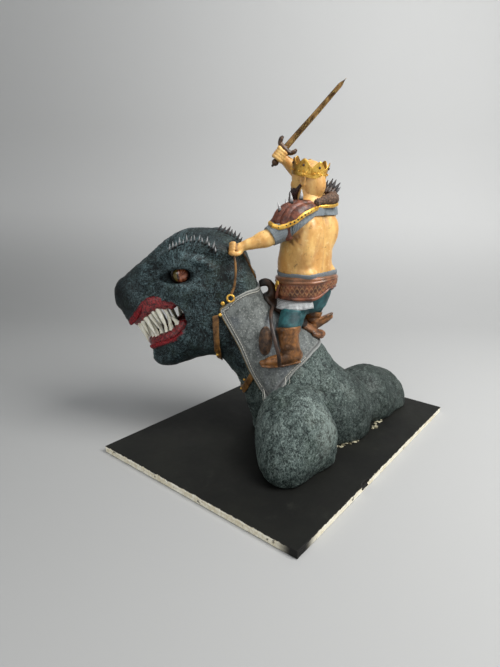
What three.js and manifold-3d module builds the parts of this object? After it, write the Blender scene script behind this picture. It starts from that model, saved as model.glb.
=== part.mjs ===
// Sand dragon with an armed rider on a painted base board, in millimetres, +Z up.
// The origin is the middle of the board's underside, with +X along the board's long side.
import * as THREE from 'three';
import { mergeVertices } from 'three/addons/utils/BufferGeometryUtils.js';
import Module from 'manifold-3d';

const wasm = await Module();
wasm.setup();

// ---- driving dimensions ----
const boardLong = 420;
const boardShort = 297;
const boardThick = 9;
const gap = 0.3; // clearance where two separate pieces touch
const dragonTurn = THREE.MathUtils.degToRad(128); // the way the head points, from +X
const bodyTurn = Math.PI - dragonTurn; // the body lies along the board's long side
const clothThick = 3;
const gumRadius = 6.5;
const toothRadius = 4.6;
const eyeRadius = 14;
const riderTurn = THREE.MathUtils.degToRad(-42); // the rider's front, from the dragon's
const riderSeat = [-10, 0]; // the rider's middle on the dragon's back
const leatherThick = 2.6;
const bladeWidth = 9;

const colours = {
  board: [0x1b1a19, 0.75, 0],
  dragonSkin: [0x26383a, 0.6, 0],
  gum: [0x6a1517, 0.45, 0],
  eye: [0x5a3a22, 0.15, 0],
  cloth: [0x7d8280, 0.75, 0],
  darkLeather: [0x35210f, 0.6, 0],
  strap: [0x6b4a1c, 0.5, 0],
  skin: [0xc8955a, 0.5, 0],
  brownLeather: [0x6a3322, 0.55, 0],
  bootLeather: [0x8a5a2b, 0.5, 0],
  gold: [0xc09a3c, 0.35, 0.8],
  bronze: [0x8d8062, 0.35, 0.8],
  mail: [0x8f979b, 0.5, 0.5],
};

// ---- solids: meshes joined and cut ----
function solid(geometry) {
  const plain = geometry.clone();
  plain.deleteAttribute('normal');
  plain.deleteAttribute('uv');
  const merged = mergeVertices(plain, 1e-4);
  return new wasm.Manifold(new wasm.Mesh({
    numProp: 3,
    vertProperties: merged.attributes.position.array,
    triVerts: new Uint32Array(merged.index.array),
  }));
}

function joined(solids) {
  return solids.reduce((all, next) => all.add(next));
}

// The largest closed body of a solid, without crumbs that a cut leaves behind.
function wholePiece(cut) {
  return cut.decompose().sort((a, b) => b.volume() - a.volume())[0];
}

function geometryOf(body) {
  const mesh = body.getMesh();
  const geometry = new THREE.BufferGeometry();
  geometry.setAttribute('position', new THREE.BufferAttribute(new Float32Array(mesh.vertProperties), 3));
  geometry.setIndex(new THREE.BufferAttribute(new Uint32Array(mesh.triVerts), 1));
  geometry.computeVertexNormals();
  return geometry;
}

function piece(name, body, finish) {
  const [color, roughness, metalness] = colours[finish];
  const material = new THREE.MeshStandardMaterial({ color, roughness, metalness });
  const mesh = new THREE.Mesh(geometryOf(wholePiece(body)), material);
  mesh.name = name;
  return mesh;
}

// ---- forms ----
// A body swept through stations [x, y, z, deep, wide]: wide lies along the across direction and deep is
// square to it. Each end is rounded over capLength times its smaller radius, or flat at 0. With a heading,
// every section stands square to that direction instead of to the path.
function sweep(stations, options = {}) {
  const { sides = 20, steps = 12, caps = [1, 1], across = [0, 1, 0] } = options;
  const { heading, power = 2, grow = 0 } = options;
  const path = new THREE.CatmullRomCurve3(stations.map(([x, y, z]) => new THREE.Vector3(x, y, z)));
  const sizes = new THREE.CatmullRomCurve3(
    stations.map(([, , , deep, wide = deep]) => new THREE.Vector3(deep + grow, wide + grow, 0)),
  );
  const acrossWay = new THREE.Vector3(...across);
  const positions = [];
  const index = [];
  const capRings = 2;
  const rings = [];

  function addRing(u, along, shrink) {
    const tangent = heading ? new THREE.Vector3(...heading).normalize() : path.getTangent(u);
    const wideWay = acrossWay.clone().addScaledVector(tangent, -acrossWay.dot(tangent)).normalize();
    const deepWay = tangent.clone().cross(wideWay);
    const centre = path.getPoint(u).addScaledVector(tangent, along);
    const size = sizes.getPoint(u);
    rings.push(positions.length / 3);
    for (let i = 0; i < sides; i += 1) {
      const angle = (2 * Math.PI * i) / sides;
      const cos = Math.cos(angle);
      const sin = Math.sin(angle);
      const wide = Math.sign(cos) * Math.abs(cos) ** (2 / power) * size.y * shrink;
      const deep = Math.sign(sin) * Math.abs(sin) ** (2 / power) * size.x * shrink;
      const point = centre.clone().addScaledVector(wideWay, wide).addScaledVector(deepWay, deep);
      positions.push(point.x, point.y, point.z);
    }
  }

  function capSize(u, cap) {
    const size = sizes.getPoint(u);
    return cap * Math.min(size.x, size.y);
  }

  if (caps[0] > 0) {
    for (let k = capRings; k > 0; k -= 1) {
      const lift = (k / (capRings + 0.5)) * (Math.PI / 2);
      addRing(0, -capSize(0, caps[0]) * Math.sin(lift), Math.cos(lift));
    }
  }
  for (let k = 0; k <= steps; k += 1) {
    addRing(k / steps, 0, 1);
  }
  if (caps[1] > 0) {
    for (let k = 1; k <= capRings; k += 1) {
      const lift = (k / (capRings + 0.5)) * (Math.PI / 2);
      addRing(1, capSize(1, caps[1]) * Math.sin(lift), Math.cos(lift));
    }
  }
  for (let r = 0; r + 1 < rings.length; r += 1) {
    for (let i = 0; i < sides; i += 1) {
      const next = (i + 1) % sides;
      const [a, b] = [rings[r] + i, rings[r] + next];
      const [c, d] = [rings[r + 1] + i, rings[r + 1] + next];
      index.push(a, b, c, b, d, c);
    }
  }
  for (const [u, cap, ring, atStart] of [[0, caps[0], rings[0], true], [1, caps[1], rings.at(-1), false]]) {
    const tangent = heading ? new THREE.Vector3(...heading).normalize() : path.getTangent(u);
    const end = path.getPoint(u).addScaledVector(tangent, (atStart ? -1 : 1) * capSize(u, cap));
    const tip = positions.length / 3;
    positions.push(end.x, end.y, end.z);
    for (let i = 0; i < sides; i += 1) {
      const next = (i + 1) % sides;
      index.push(...(atStart ? [tip, ring + next, ring + i] : [tip, ring + i, ring + next]));
    }
  }
  const geometry = new THREE.BufferGeometry();
  geometry.setAttribute('position', new THREE.Float32BufferAttribute(positions, 3));
  geometry.setIndex(index);
  return solid(geometry);
}

// An ellipsoid, turned about its own upright axis.
function blob([x, y, z], [rx, ry, rz], turn = 0, grow = 0, detail = [16, 9]) {
  const geometry = new THREE.SphereGeometry(1, ...detail);
  geometry.rotateX(Math.PI / 2);
  geometry.scale(rx + grow, ry + grow, rz + grow);
  geometry.rotateZ(turn);
  geometry.translate(x, y, z);
  return solid(geometry);
}

function block([x0, y0, z0], [x1, y1, z1]) {
  const geometry = new THREE.BoxGeometry(x1 - x0, y1 - y0, z1 - z0);
  geometry.translate((x0 + x1) / 2, (y0 + y1) / 2, (z0 + z1) / 2);
  return solid(geometry);
}

// A side-on outline of (forward, up) points, extruded across the dragon from one side to the other.
function sideCut(outline, left, right) {
  const shape = new THREE.Shape(outline.map(([forward, up]) => new THREE.Vector2(forward, up)));
  const geometry = new THREE.ExtrudeGeometry(shape, { depth: left - right, bevelEnabled: false });
  geometry.rotateX(Math.PI / 2);
  geometry.translate(0, left, 0);
  return solid(geometry);
}

function mirrored([x, y, z, ...rest]) {
  return [x, -y, z, ...rest];
}

// ---- dragon: x forward, y to its left, z up from the board's top ----
const neckStations = [
  [-24, 0, -4, 76, 66],
  [-14, 0, 30, 74, 64],
  [2, 0, 64, 69, 59],
  [18, 0, 90, 63, 55],
  [38, 0, 112, 56, 52],
  [62, 0, 134, 49, 49],
  [84, 0, 160, 46, 47],
  [98, 0, 184, 40, 44],
];

// Head sections: how far forward, top, bottom, half width.
const headSections = [
  [62, 224, 168, 34],
  [69, 246, 140, 47],
  [80, 264, 119, 54],
  [100, 275, 109, 58],
  [122, 276, 105, 59],
  [145, 275, 98, 57],
  [162, 268, 91, 54],
  [178, 257, 89, 50],
  [190, 246, 95, 47],
  [204, 233, 116, 43],
  [220, 220, 144, 37],
  [233, 208, 166, 27],
];

const bodyMasses = [
  // the near forelimb, folded into a smooth lobe with two toe swells
  { at: [5, 98, 38], size: [48, 52, 60], turn: 0 },
  { at: [16, 128, 20], size: [31, 38, 34], turn: 0 },
  { at: [-22, 96, 24], size: [28, 28, 40], turn: 0 },
  // the middle of the body, under the rider
  { at: [-60, 0, 20], size: [58, 55, 64], turn: bodyTurn },
  { at: [-30, 20, 30], size: [52, 46, 66], turn: bodyTurn },
  // the far side, lower and plainer
  { at: [-8, -60, 4], size: [46, 44, 38], turn: 0 },
  // the hump behind
  { at: [-116, -66, 12], size: [58, 50, 57], turn: bodyTurn },
  { at: [-148, -98, 4], size: [40, 46, 50], turn: bodyTurn },
];

function dragonForm(grow) {
  const neck = sweep(neckStations, { sides: 18, steps: 9, caps: [0, 0.4], grow });
  const headPath = headSections.map(([x, top, bottom, half]) => (
    [x, 0, (top + bottom) / 2, (top - bottom) / 2, half]
  ));
  const headShape = { sides: 20, steps: 12, caps: [0.25, 0.45], heading: [1, 0, 0], power: 2.3 };
  const head = sweep(headPath, { ...headShape, grow });
  const masses = bodyMasses.map(({ at, size, turn }) => blob(at, size, turn, grow));
  const brows = [1, -1].map((side) => sweep([
    [98, side * 44, 250, 9],
    [126, side * 48, 256, 10],
    [152, side * 45, 249, 9],
    [172, side * 38, 238, 7],
  ], { sides: 6, steps: 5, grow }));
  const ground = block([-400, -400, -200], [400, 400, gap]);
  return joined([neck, head, ...masses, ...brows]).subtract(ground);
}

// The open mouth, side-on, from the lip line round the corner to the lower lip.
const mouthOutline = [
  [260, 152],
  [218, 156],
  [211, 163],
  [202, 177],
  [192, 187],
  [178, 191],
  [160, 191],
  [147, 187],
  [137, 174],
  [137, 160],
  [144, 148],
  [156, 138],
  [172, 131],
  [187, 124],
  [197, 116],
  [199, 106],
  [204, 96],
  [260, 80],
];

const upperGumPath = [
  [160, 47, 186],
  [176, 46, 185],
  [190, 42, 178],
  [202, 34, 166],
  [210, 20, 156],
  [212, 0, 154],
];

const lowerGumPath = [
  [146, 41, 157],
  [155, 41, 146],
  [168, 38, 138],
  [181, 31, 131],
  [189, 18, 127],
  [192, 0, 126],
];

function gumForm(path, grow) {
  const stations = [...path, ...path.slice(0, -1).reverse().map(mirrored)];
  return sweep(stations.map((at) => [...at, gumRadius]), { sides: 7, steps: 16, across: [0, 0, 1], grow });
}

// A row of cone teeth round a gum, each pointing the way the jaw bites.
function toothRow(path, lengths, lean, grow) {
  const stations = [...path, ...path.slice(0, -1).reverse().map(mirrored)];
  const curve = new THREE.CatmullRomCurve3(stations.map((at) => new THREE.Vector3(...at)));
  return lengths.map((length, i) => {
    const root = curve.getPointAt((i + 0.5) / lengths.length);
    const way = new THREE.Vector3(lean[0], 0, lean[1]).normalize();
    const tooth = new THREE.ConeGeometry(toothRadius + grow, length + 4 * grow, 5);
    tooth.translate(0, length / 2, 0);
    tooth.applyQuaternion(new THREE.Quaternion().setFromUnitVectors(new THREE.Vector3(0, 1, 0), way));
    tooth.translate(root.x, root.y, root.z);
    return solid(tooth);
  });
}

const upperTeeth = { count: 16, length: 36, lean: [-0.5, -1] };
const lowerTeeth = { count: 15, length: 34, lean: [0.45, 1] };

function gumWithTeeth(path, teeth, grow) {
  const lengths = Array.from({ length: teeth.count }, (_, i) => (
    teeth.length * (0.86 + 0.14 * Math.sin(1.9 * i))
  ));
  return joined([gumForm(path, grow), ...toothRow(path, lengths, teeth.lean, grow)]);
}

const eyeCentres = [1, -1].map((side) => [149, side * 42, 222]);

function dragonSolid() {
  const mouth = sideCut(mouthOutline, 90, -90);
  const gums = [gumForm(upperGumPath, gap), gumForm(lowerGumPath, gap)];
  const sockets = eyeCentres.map((at) => blob(at, [eyeRadius, eyeRadius, eyeRadius], 0, gap, [12, 8]));
  return [...gums, ...sockets].reduce((all, cut) => all.subtract(cut), dragonForm(0).subtract(mouth));
}

// ---- saddle cloth and tack ----
// Side-on outline of the cloth: the ridge behind the head, the corner by the cheek, the low tip, and the
// trailing edge up to the ridge.
const clothOutline = [
  [40, 214],
  [57, 209],
  [70, 206],
  [82, 199],
  [91, 189],
  [99, 180],
  [87, 154],
  [74, 128],
  [61, 98],
  [47, 74],
  [35, 58],
  [21, 80],
  [2, 103],
  [-22, 122],
  [-46, 132],
  [-70, 220],
];

const throatBand = [[101, 176], [109, 174], [105, 92], [98, 92]];
const girthBand = [[56, 87], [61, 95], [78, 52], [71, 46]];

// A strip of the given thickness that lies on the dragon inside a side-on outline.
function skinTight(outline, thick) {
  return dragonForm(gap + thick).subtract(dragonForm(gap)).intersect(sideCut(outline, 90, -90));
}

const seatPath = [
  [42, 0, 186, 7, 16],
  [22, 0, 171, 7, 20],
  [-4, 0, 158, 7, 22],
  [-24, 0, 146, 7.5, 19],
  [-33, 0, 140, 7, 15],
];

const hornPath = [
  [36, 0, 174, 8, 9],
  [36, 2, 190, 6, 7],
  [35, 4, 201, 5.5, 6],
  [40, 4, 208, 4.5, 5],
  [49, 4, 206, 4, 4.5],
];

function saddleForm(grow) {
  const seat = sweep(seatPath, { sides: 10, steps: 5, grow });
  const horn = sweep(hornPath, { sides: 7, steps: 7, grow });
  return seat.add(horn);
}

function pouchForm(side, grow) {
  return blob([42.5, side * 54, 142], [8, 5, 19], 0, grow, [10, 7]);
}

// ---- rider: forward, left and up from the seat ----
const frontWay = [Math.cos(riderTurn), Math.sin(riderTurn), 0];
const leftWay = [-Math.sin(riderTurn), Math.cos(riderTurn), 0];

function fromRider(forward, left, up) {
  return [
    riderSeat[0] + forward * frontWay[0] + left * leftWay[0],
    riderSeat[1] + forward * frontWay[1] + left * leftWay[1],
    up,
  ];
}

// Trunk sections: forward, left, up, depth, half width.
const trunk = [
  [0, 0, 182, 27, 33],
  [0.5, -1, 205, 31, 37],
  [2.5, 0, 235, 32.5, 38],
  [1.5, 0, 262, 31, 38.5],
  [0, 0, 286, 27, 39.5],
  [-2, 0, 303, 20, 33],
  [1, 0, 316, 15, 17],
  [5, 0, 330, 15, 15],
];

const leftArm = [
  [12, 25, 291, 15],
  [26, 32, 279, 12.5],
  [39, 37, 270, 10.5],
  [52, 41, 264.5, 8.8],
  [68, 45, 260, 6.8],
];

const rightArm = [
  [-34, -26, 296, 14],
  [-26, -40, 316, 12],
  [-8, -42, 337, 10.5],
  [9, -36, 352, 9],
  [24, -28, 364, 7],
];

const leftLeg = [
  [0, 8, 184, 18],
  [6, 25, 174, 16],
  [12, 42, 158, 14.5],
];

const rightLeg = [
  [-20, -12, 186, 16],
  [-27, -22, 176, 14],
  [-26, -25, 164, 10],
];

const leftBootShaft = [
  [13, 45, 155, 15],
  [13, 48, 142, 14],
  [10, 50, 130, 12.5],
  [8, 50, 124, 11.5],
];

const leftFoot = [
  [4, 50, 123, 8, 9],
  [20, 52, 118, 8.5, 10],
  [42, 53, 114, 6, 8],
];

const rightBootShaft = [
  [-24, -25, 161, 13],
  [-22, -25, 146, 12],
  [-20, -25, 136, 10],
];

const rightFoot = [
  [-14, -24, 136, 6, 8],
  [-28, -26, 142, 7, 9],
  [-42, -28, 150, 6, 8],
  [-50, -29, 155, 4, 6],
];

const headCentre = fromRider(9, 0, 338);
const leftHandAt = [82, 47, 254.5];
const rightFistAt = [31, -26, 368];

function limbForm(limb, grow, sides = 8) {
  return sweep(limb, { sides, steps: 4, across: [0.1, 1, 0.1], grow });
}

function riderForm(grow) {
  const torso = sweep(
    trunk.map(([forward, left, up, deep, wide]) => [...fromRider(forward, left, up), deep, wide]),
    { sides: 16, steps: 9, caps: [0.2, 0.6], across: leftWay, grow },
  );
  const head = blob(headCentre, [22, 19, 21], riderTurn, grow, [12, 8]);
  const beard = blob(fromRider(25, 0, 323), [8, 10, 15], riderTurn, grow, [8, 6]);
  const limbs = [leftArm, rightArm, leftLeg, rightLeg].map((limb) => limbForm(limb, grow));
  const leftHand = blob(leftHandAt, [8.5, 8, 7.5], 0.3, grow, [8, 6]);
  const rightFist = blob(rightFistAt, [8, 7, 7.5], 0.3, grow, [8, 6]);
  return joined([torso, head, beard, ...limbs, leftHand, rightFist]);
}

// ---- rider's gear ----
// A ring round the rider's upright axis from a closed half section of (radius, height) points, made oval.
function ringRound(at, section, oval, tilt, segments = 18) {
  const points = section.map(([radius, up]) => new THREE.Vector2(radius, up));
  const geometry = new THREE.LatheGeometry([...points, points[0].clone()], segments);
  geometry.rotateX(Math.PI / 2);
  geometry.scale(1, oval, 1);
  geometry.rotateY(tilt);
  geometry.rotateZ(riderTurn);
  geometry.translate(...at);
  return solid(geometry);
}

// A block turned to the rider and set at a point on the rider's upright axis.
function behindRider(cut, at) {
  return cut.rotate([0, 0, THREE.MathUtils.radToDeg(riderTurn)]).translate(at);
}

// The belt narrows from below across the small of the back.
function beltForm(grow) {
  const inner = 18;
  const at = fromRider(-0.6, -1.2, 204);
  const section = [
    [inner, -15 - grow],
    [34 + grow, -15 - grow],
    [37 + grow, -6],
    [39 + grow, 6],
    [36 + grow, 15 + grow],
    [inner, 15 + grow],
  ];
  const wedge = block([-60, -60, -60], [0, 60, 0]).rotate([0, 60, 0]).translate([-30 - grow, 0, -15]);
  return ringRound(at, section, 1.12, 0.06).subtract(behindRider(wedge, at));
}

// The mail skirt hangs round the front and the left side and is open at the back and the right hip.
function skirtForm(grow) {
  const inner = 18;
  const at = fromRider(-0.6, -1.2, 188.4);
  const section = [
    [inner, -11 - grow],
    [37.5 + grow, -11 - grow],
    [36 + grow, -6],
    [33.5 + grow, grow],
    [inner, grow],
  ];
  const back = block([-90, -90, -40], [-29 - grow, 90, 40]);
  const opening = back.add(block([-90, -90, -40], [-6 - grow, -2 - grow, 40]));
  return ringRound(at, section, 1.13, 0.06).subtract(behindRider(opening, at));
}

const crownTilt = -0.19;
const crownRadius = 22.5;
const crownPoints = 7;
const crownAt = fromRider(5, 0, 342);

function crownSolid() {
  const section = [
    [crownRadius - 3, 0],
    [crownRadius, 0],
    [crownRadius + 1, 12],
    [crownRadius - 2, 12],
  ];
  const band = ringRound(crownAt, section, 0.96, crownTilt, 21);
  const points = Array.from({ length: crownPoints }, (_, i) => {
    const point = new THREE.ConeGeometry(6, 12, 4);
    point.rotateX(Math.PI / 2);
    point.scale(0.3, 1, 1);
    point.translate(crownRadius - 0.5, 0, 14);
    point.rotateZ((2 * Math.PI * (i + 0.5)) / crownPoints);
    point.scale(1, 0.96, 1);
    point.rotateY(crownTilt);
    point.rotateZ(riderTurn);
    point.translate(...crownAt);
    return solid(point);
  });
  return joined([band, ...points]).subtract(riderForm(gap));
}

const swordPlane = -26; // how far the sword lies to the dragon's left
const pommelAt = [35, swordPlane, 359];
const guardAt = [22.5, swordPlane, 377];
const tipAt = [-49.5, swordPlane, 460];

function swordForm(grow) {
  const guardPoint = new THREE.Vector3(...guardAt);
  const way = new THREE.Vector3(...tipAt).sub(guardPoint);
  const length = way.length();
  way.normalize();
  const side = new THREE.Vector3(way.z, 0, -way.x);
  const at = (along, aside) => (
    guardPoint.clone().addScaledVector(way, along).addScaledVector(side, aside).toArray()
  );
  const blade = sweep([
    [...at(-2, 0), bladeWidth / 2, 1.7],
    [...at(45, 0), bladeWidth * 0.4, 1.5],
    [...at(length - 16, 0), bladeWidth * 0.33, 1.2],
    [...at(length - 1, 0), 0.8, 0.5],
  ], { sides: 6, steps: 6, caps: [0, 0.5], grow });
  const grip = sweep([[...pommelAt, 2.8], [...guardAt, 2.8]], { sides: 8, steps: 1, caps: [0, 0], grow });
  const pommel = blob(pommelAt, [4.8, 4.8, 4.8], 0, grow, [8, 6]);
  const guard = sweep([[12, 6], [9, -1.5], [0, -3], [-9, -1.5], [-12, 6]].map(([aside, along]) => (
    [...at(along, aside), 3]
  )), { sides: 6, steps: 8, grow });
  return joined([blade, grip, pommel, guard]);
}

// The leather guard lies over the left shoulder, from the nape down to the upper arm.
function shoulderGuardForm(grow) {
  return sweep([
    [-16, 6, 302, 8, 8],
    [-2, 16, 300, 14, 19],
    [13, 24, 292, 18, 23],
    [27, 30, 284, 15, 17],
    [37, 33, 280, 8, 9],
  ], { sides: 12, steps: 6, caps: [0.7, 0.7], across: [-0.35, 0.9, 0], grow });
}

function shoulderGuardSolid() {
  const below = block([-90, -90, -80], [90, 90, 0]).rotate([0, 23, 0]).translate([12, 22, 287]);
  return shoulderGuardForm(0).subtract(below).subtract(riderForm(gap));
}

// Roll sections: forward, left, up, radius.
const collarRoll = [
  [-20, 14, 311, 4],
  [-22, -6, 315, 6],
  [-14, -28, 316, 9],
  [6, -34, 310, 8],
  [18, -18, 304, 5],
];

function furCollarForm(grow) {
  const stations = collarRoll.map(([forward, left, up, radius]) => [...fromRider(forward, left, up), radius]);
  return sweep(stations, { sides: 7, steps: 7, across: [0, 0, 1], grow });
}

function mailYokeSolid() {
  const shell = riderForm(gap + 1.8).subtract(riderForm(gap));
  const band = block([-70, -70, -6], [60, 70, 6]).rotate([10, 10, 0]).translate([-10, 0, 297]);
  return shell.intersect(band).subtract(shoulderGuardForm(gap)).subtract(furCollarForm(gap));
}

function mailSleeveSolid() {
  const outer = limbForm(leftArm, gap + 2);
  const band = block([22, 0, 240], [41, 70, 300]).rotate([0, 12, 0]).translate([-54, 0, 12]);
  return outer.intersect(band).subtract(riderForm(gap)).subtract(shoulderGuardForm(gap));
}

function leftBootForm(grow) {
  return limbForm(leftBootShaft, grow, 10).add(limbForm(leftFoot, grow, 8));
}

function rightBootForm(grow) {
  return limbForm(rightBootShaft, grow, 8).add(limbForm(rightFoot, grow, 8));
}

// ---- reins and stirrup leather ----
const nearRein = [
  [83, 56, 247],
  [81.5, 59, 238],
  [81, 61, 225],
  [82.5, 62, 211],
  [85.5, 62, 203],
];

const farRein = [
  [74, 34, 250],
  [71, 30, 244.5],
  [67, 28.5, 237.5],
  [63.5, 22, 230],
  [59.5, 16, 221],
  [57, 14.5, 215.5],
];

// The stirrup leather: forward, left, up, thickness and half width.
const stirrupLeather = [
  [34, 24, 180, 1.2, 2.6],
  [36, 38, 171, 1.2, 2.6],
  [34.5, 53, 158, 1.2, 2.6],
  [30, 62, 142, 1.2, 2.6],
  [25.5, 66, 126, 1.2, 2.6],
  [24, 64, 112, 1.2, 2.6],
];

function stirrupLeatherForm() {
  return sweep(stirrupLeather, { sides: 6, steps: 9, caps: [0, 0], across: [1, 0, 0] });
}

function cord(path, radius, steps) {
  const curve = new THREE.CatmullRomCurve3(path.map((at) => new THREE.Vector3(...at)));
  const section = new THREE.Shape();
  section.absarc(0, 0, radius, 0, 2 * Math.PI);
  return solid(new THREE.ExtrudeGeometry(section, { steps, curveSegments: 4, extrudePath: curve }));
}

function bridleRing() {
  const ring = new THREE.TorusGeometry(4.2, 1.3, 6, 12);
  ring.rotateX(Math.PI / 2);
  ring.translate(86.5, 62, 197);
  return solid(ring);
}

// ---- assembly ----
const creature = new THREE.Group();
creature.position.z = boardThick;
creature.rotation.z = dragonTurn;

const overCloth = dragonForm(2 * gap + clothThick);
const riderGrown = riderForm(gap);
const gear = leftBootForm(gap).add(rightBootForm(gap));

const eyeSize = [eyeRadius, eyeRadius, eyeRadius];
creature.add(piece('dragon', dragonSolid(), 'dragonSkin'));
const upperJaw = gumWithTeeth(upperGumPath, upperTeeth, 0);
const lowerJaw = gumWithTeeth(lowerGumPath, lowerTeeth, 0);
const jawCut = gumWithTeeth(upperGumPath, upperTeeth, gap);
creature.add(piece('upper_gum_and_teeth', upperJaw, 'gum'));
creature.add(piece('lower_gum_and_teeth', lowerJaw.subtract(jawCut), 'gum'));
creature.add(piece('left_eye', blob(eyeCentres[0], eyeSize, 0, 0, [12, 8]), 'eye'));
creature.add(piece('right_eye', blob(eyeCentres[1], eyeSize, 0, 0, [12, 8]), 'eye'));
creature.add(piece('saddle_cloth', skinTight(clothOutline, clothThick), 'cloth'));
creature.add(piece('throat_strap', skinTight(throatBand, leatherThick), 'strap'));
creature.add(piece('girth_strap', skinTight(girthBand, leatherThick), 'strap'));

const seated = riderForm(0).subtract(overCloth).subtract(swordForm(gap)).subtract(gear);
creature.add(piece('rider', seated, 'skin'));
creature.add(piece('sword', swordForm(0), 'bronze'));
creature.add(piece('crown', crownSolid(), 'gold'));
creature.add(piece('belt', beltForm(0).subtract(riderGrown), 'brownLeather'));
creature.add(piece('mail_skirt', skirtForm(0).subtract(riderGrown), 'mail'));
creature.add(piece('shoulder_guard', shoulderGuardSolid(), 'brownLeather'));
const collarCut = joined([riderGrown, shoulderGuardForm(gap)]);
creature.add(piece('fur_collar', furCollarForm(0).subtract(collarCut), 'brownLeather'));
creature.add(piece('mail_yoke', mailYokeSolid(), 'mail'));
creature.add(piece('mail_sleeve', mailSleeveSolid(), 'mail'));
creature.add(piece('left_boot', leftBootForm(0).subtract(overCloth), 'bootLeather'));
const rightBootCut = joined([overCloth, saddleForm(gap)]);
creature.add(piece('right_boot', rightBootForm(0).subtract(rightBootCut), 'bootLeather'));
const seatCut = joined([overCloth, riderGrown, beltForm(gap), skirtForm(gap)]);
creature.add(piece('saddle', saddleForm(0).subtract(seatCut), 'darkLeather'));
const pouchCut = joined([overCloth, leftBootForm(gap)]);
creature.add(piece('left_pouch', pouchForm(1, 0).subtract(pouchCut), 'darkLeather'));
creature.add(piece('right_pouch', pouchForm(-1, 0).subtract(overCloth), 'darkLeather'));
const strapCut = joined([seatCut, saddleForm(gap), leftBootForm(gap), pouchForm(1, gap)]);
creature.add(piece('stirrup_leather', stirrupLeatherForm().subtract(strapCut), 'darkLeather'));
const reinCut = dragonForm(gap);
creature.add(piece('near_rein', cord(nearRein, 1.4, 12).subtract(riderGrown), 'strap'));
creature.add(piece('far_rein', cord(farRein, 1.4, 12).subtract(riderGrown).subtract(reinCut), 'strap'));
creature.add(piece('bridle_ring', bridleRing(), 'gold'));

// The board has one chipped place in its front edge.
function boardSolid() {
  const half = [boardLong / 2, boardShort / 2];
  const chip = blob([-64, -half[1] - 2, boardThick], [9, 4.5, 5], 0, 0, [8, 6]);
  return block([-half[0], -half[1], 0], [half[0], half[1], boardThick]).subtract(chip);
}

const group = new THREE.Group();
group.add(piece('base_board', boardSolid(), 'board'), creature);

export default group;
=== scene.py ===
import math

import bpy
import numpy as np
import openvdb
from mathutils import Matrix, Vector


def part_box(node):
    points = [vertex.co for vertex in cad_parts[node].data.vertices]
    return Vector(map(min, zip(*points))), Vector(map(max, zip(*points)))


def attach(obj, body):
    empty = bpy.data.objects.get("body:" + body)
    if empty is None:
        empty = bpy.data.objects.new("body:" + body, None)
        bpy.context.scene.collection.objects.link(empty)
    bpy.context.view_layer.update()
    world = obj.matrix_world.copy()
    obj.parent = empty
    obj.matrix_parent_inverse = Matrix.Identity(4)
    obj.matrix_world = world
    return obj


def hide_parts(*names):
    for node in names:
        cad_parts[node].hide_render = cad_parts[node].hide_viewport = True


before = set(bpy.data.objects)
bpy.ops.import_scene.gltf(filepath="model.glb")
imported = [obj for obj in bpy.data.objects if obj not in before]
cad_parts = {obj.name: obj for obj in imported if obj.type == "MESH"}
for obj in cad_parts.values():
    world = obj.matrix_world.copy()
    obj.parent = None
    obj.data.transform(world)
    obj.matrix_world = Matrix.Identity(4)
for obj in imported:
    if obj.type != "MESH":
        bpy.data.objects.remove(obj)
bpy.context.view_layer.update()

# everything below is shaped in millimetres, from the board's top: x the way the dragon's head points,
# y to its left, z up
boardLow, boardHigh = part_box("base_board")
boardTop = boardHigh.z
headTurn = math.radians(128)
placeIn = Matrix.Translation((0, 0, boardTop)) @ Matrix.Rotation(headTurn, 4, "Z") @ Matrix.Scale(0.001, 4)
placeArray = np.array(placeIn)
print("frame loaded")


def toRow(points):
    return np.asarray(points, float) @ placeArray[:3, :3].T + placeArray[:3, 3]


def unit(vector):
    vector = np.asarray(vector, float)
    return vector / max(np.linalg.norm(vector), 1e-9)


def step(low, high, value):
    share = np.clip((value - low) / (high - low), 0, 1)
    return share * share * (3 - 2 * share)


def curve(points, count):
    # a smooth line through the points, with any other columns carried along
    points = np.asarray(points, float)
    padded = np.vstack([2 * points[0] - points[1], points, 2 * points[-1] - points[-2]])
    along = np.linspace(0, len(points) - 1, count)
    part = np.minimum(along.astype(int), len(points) - 2)
    u = (along - part)[:, None]
    a, b, c, d = (padded[part + k] for k in range(4))
    return 0.5 * (2 * b + (c - a) * u + (2 * a - 5 * b + 4 * c - d) * u**2 + (3 * b - a - 3 * c + d) * u**3)


def grain(points, size, seed=0):
    # smooth random values from -1 to 1, one lump to each size
    scaled = np.asarray(points, float) / size + 0.37 * seed
    cell = np.floor(scaled).astype(np.int64)
    part = scaled - cell
    part = part * part * (3 - 2 * part)
    total = np.zeros(len(scaled))
    for corner in range(8):
        way = np.array([corner & 1, corner >> 1 & 1, corner >> 2 & 1])
        x, y, z = (cell + way).T
        mixed = (x * 73856093) ^ (y * 19349663) ^ (z * 83492791) ^ (seed * 2654435)
        mixed = ((mixed ^ (mixed >> 13)) * 1274126177) & 0xFFFFFFFF
        value = ((mixed ^ (mixed >> 15)) & 0xFFFF) / 32767.5 - 1
        total += value * np.prod(np.where(way, part, 1 - part), axis=1)
    return total


def folds(points, size, seed=0):
    # sharp valleys between rounded ridges, from 0 to 1
    return 1 - (1 - np.abs(grain(points, size, seed))) ** 2


def ringFaces(rings, sides, flip=False, closed=False):
    # quads between each ring of points and the next
    faces = []
    for r in range(rings if closed else rings - 1):
        a, b = r * sides, (r + 1) % rings * sides
        for i in range(sides):
            j = (i + 1) % sides
            faces.append((a + i, b + i, b + j, a + j) if flip else (a + i, a + j, b + j, b + i))
    return faces


def capFaces(sides, start, finish, last):
    # a fan at each end, round the first ring and the last one
    faces = []
    for i in range(sides):
        j = (i + 1) % sides
        faces += [(start, j, i), (finish, last + i, last + j)]
    return faces


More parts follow.
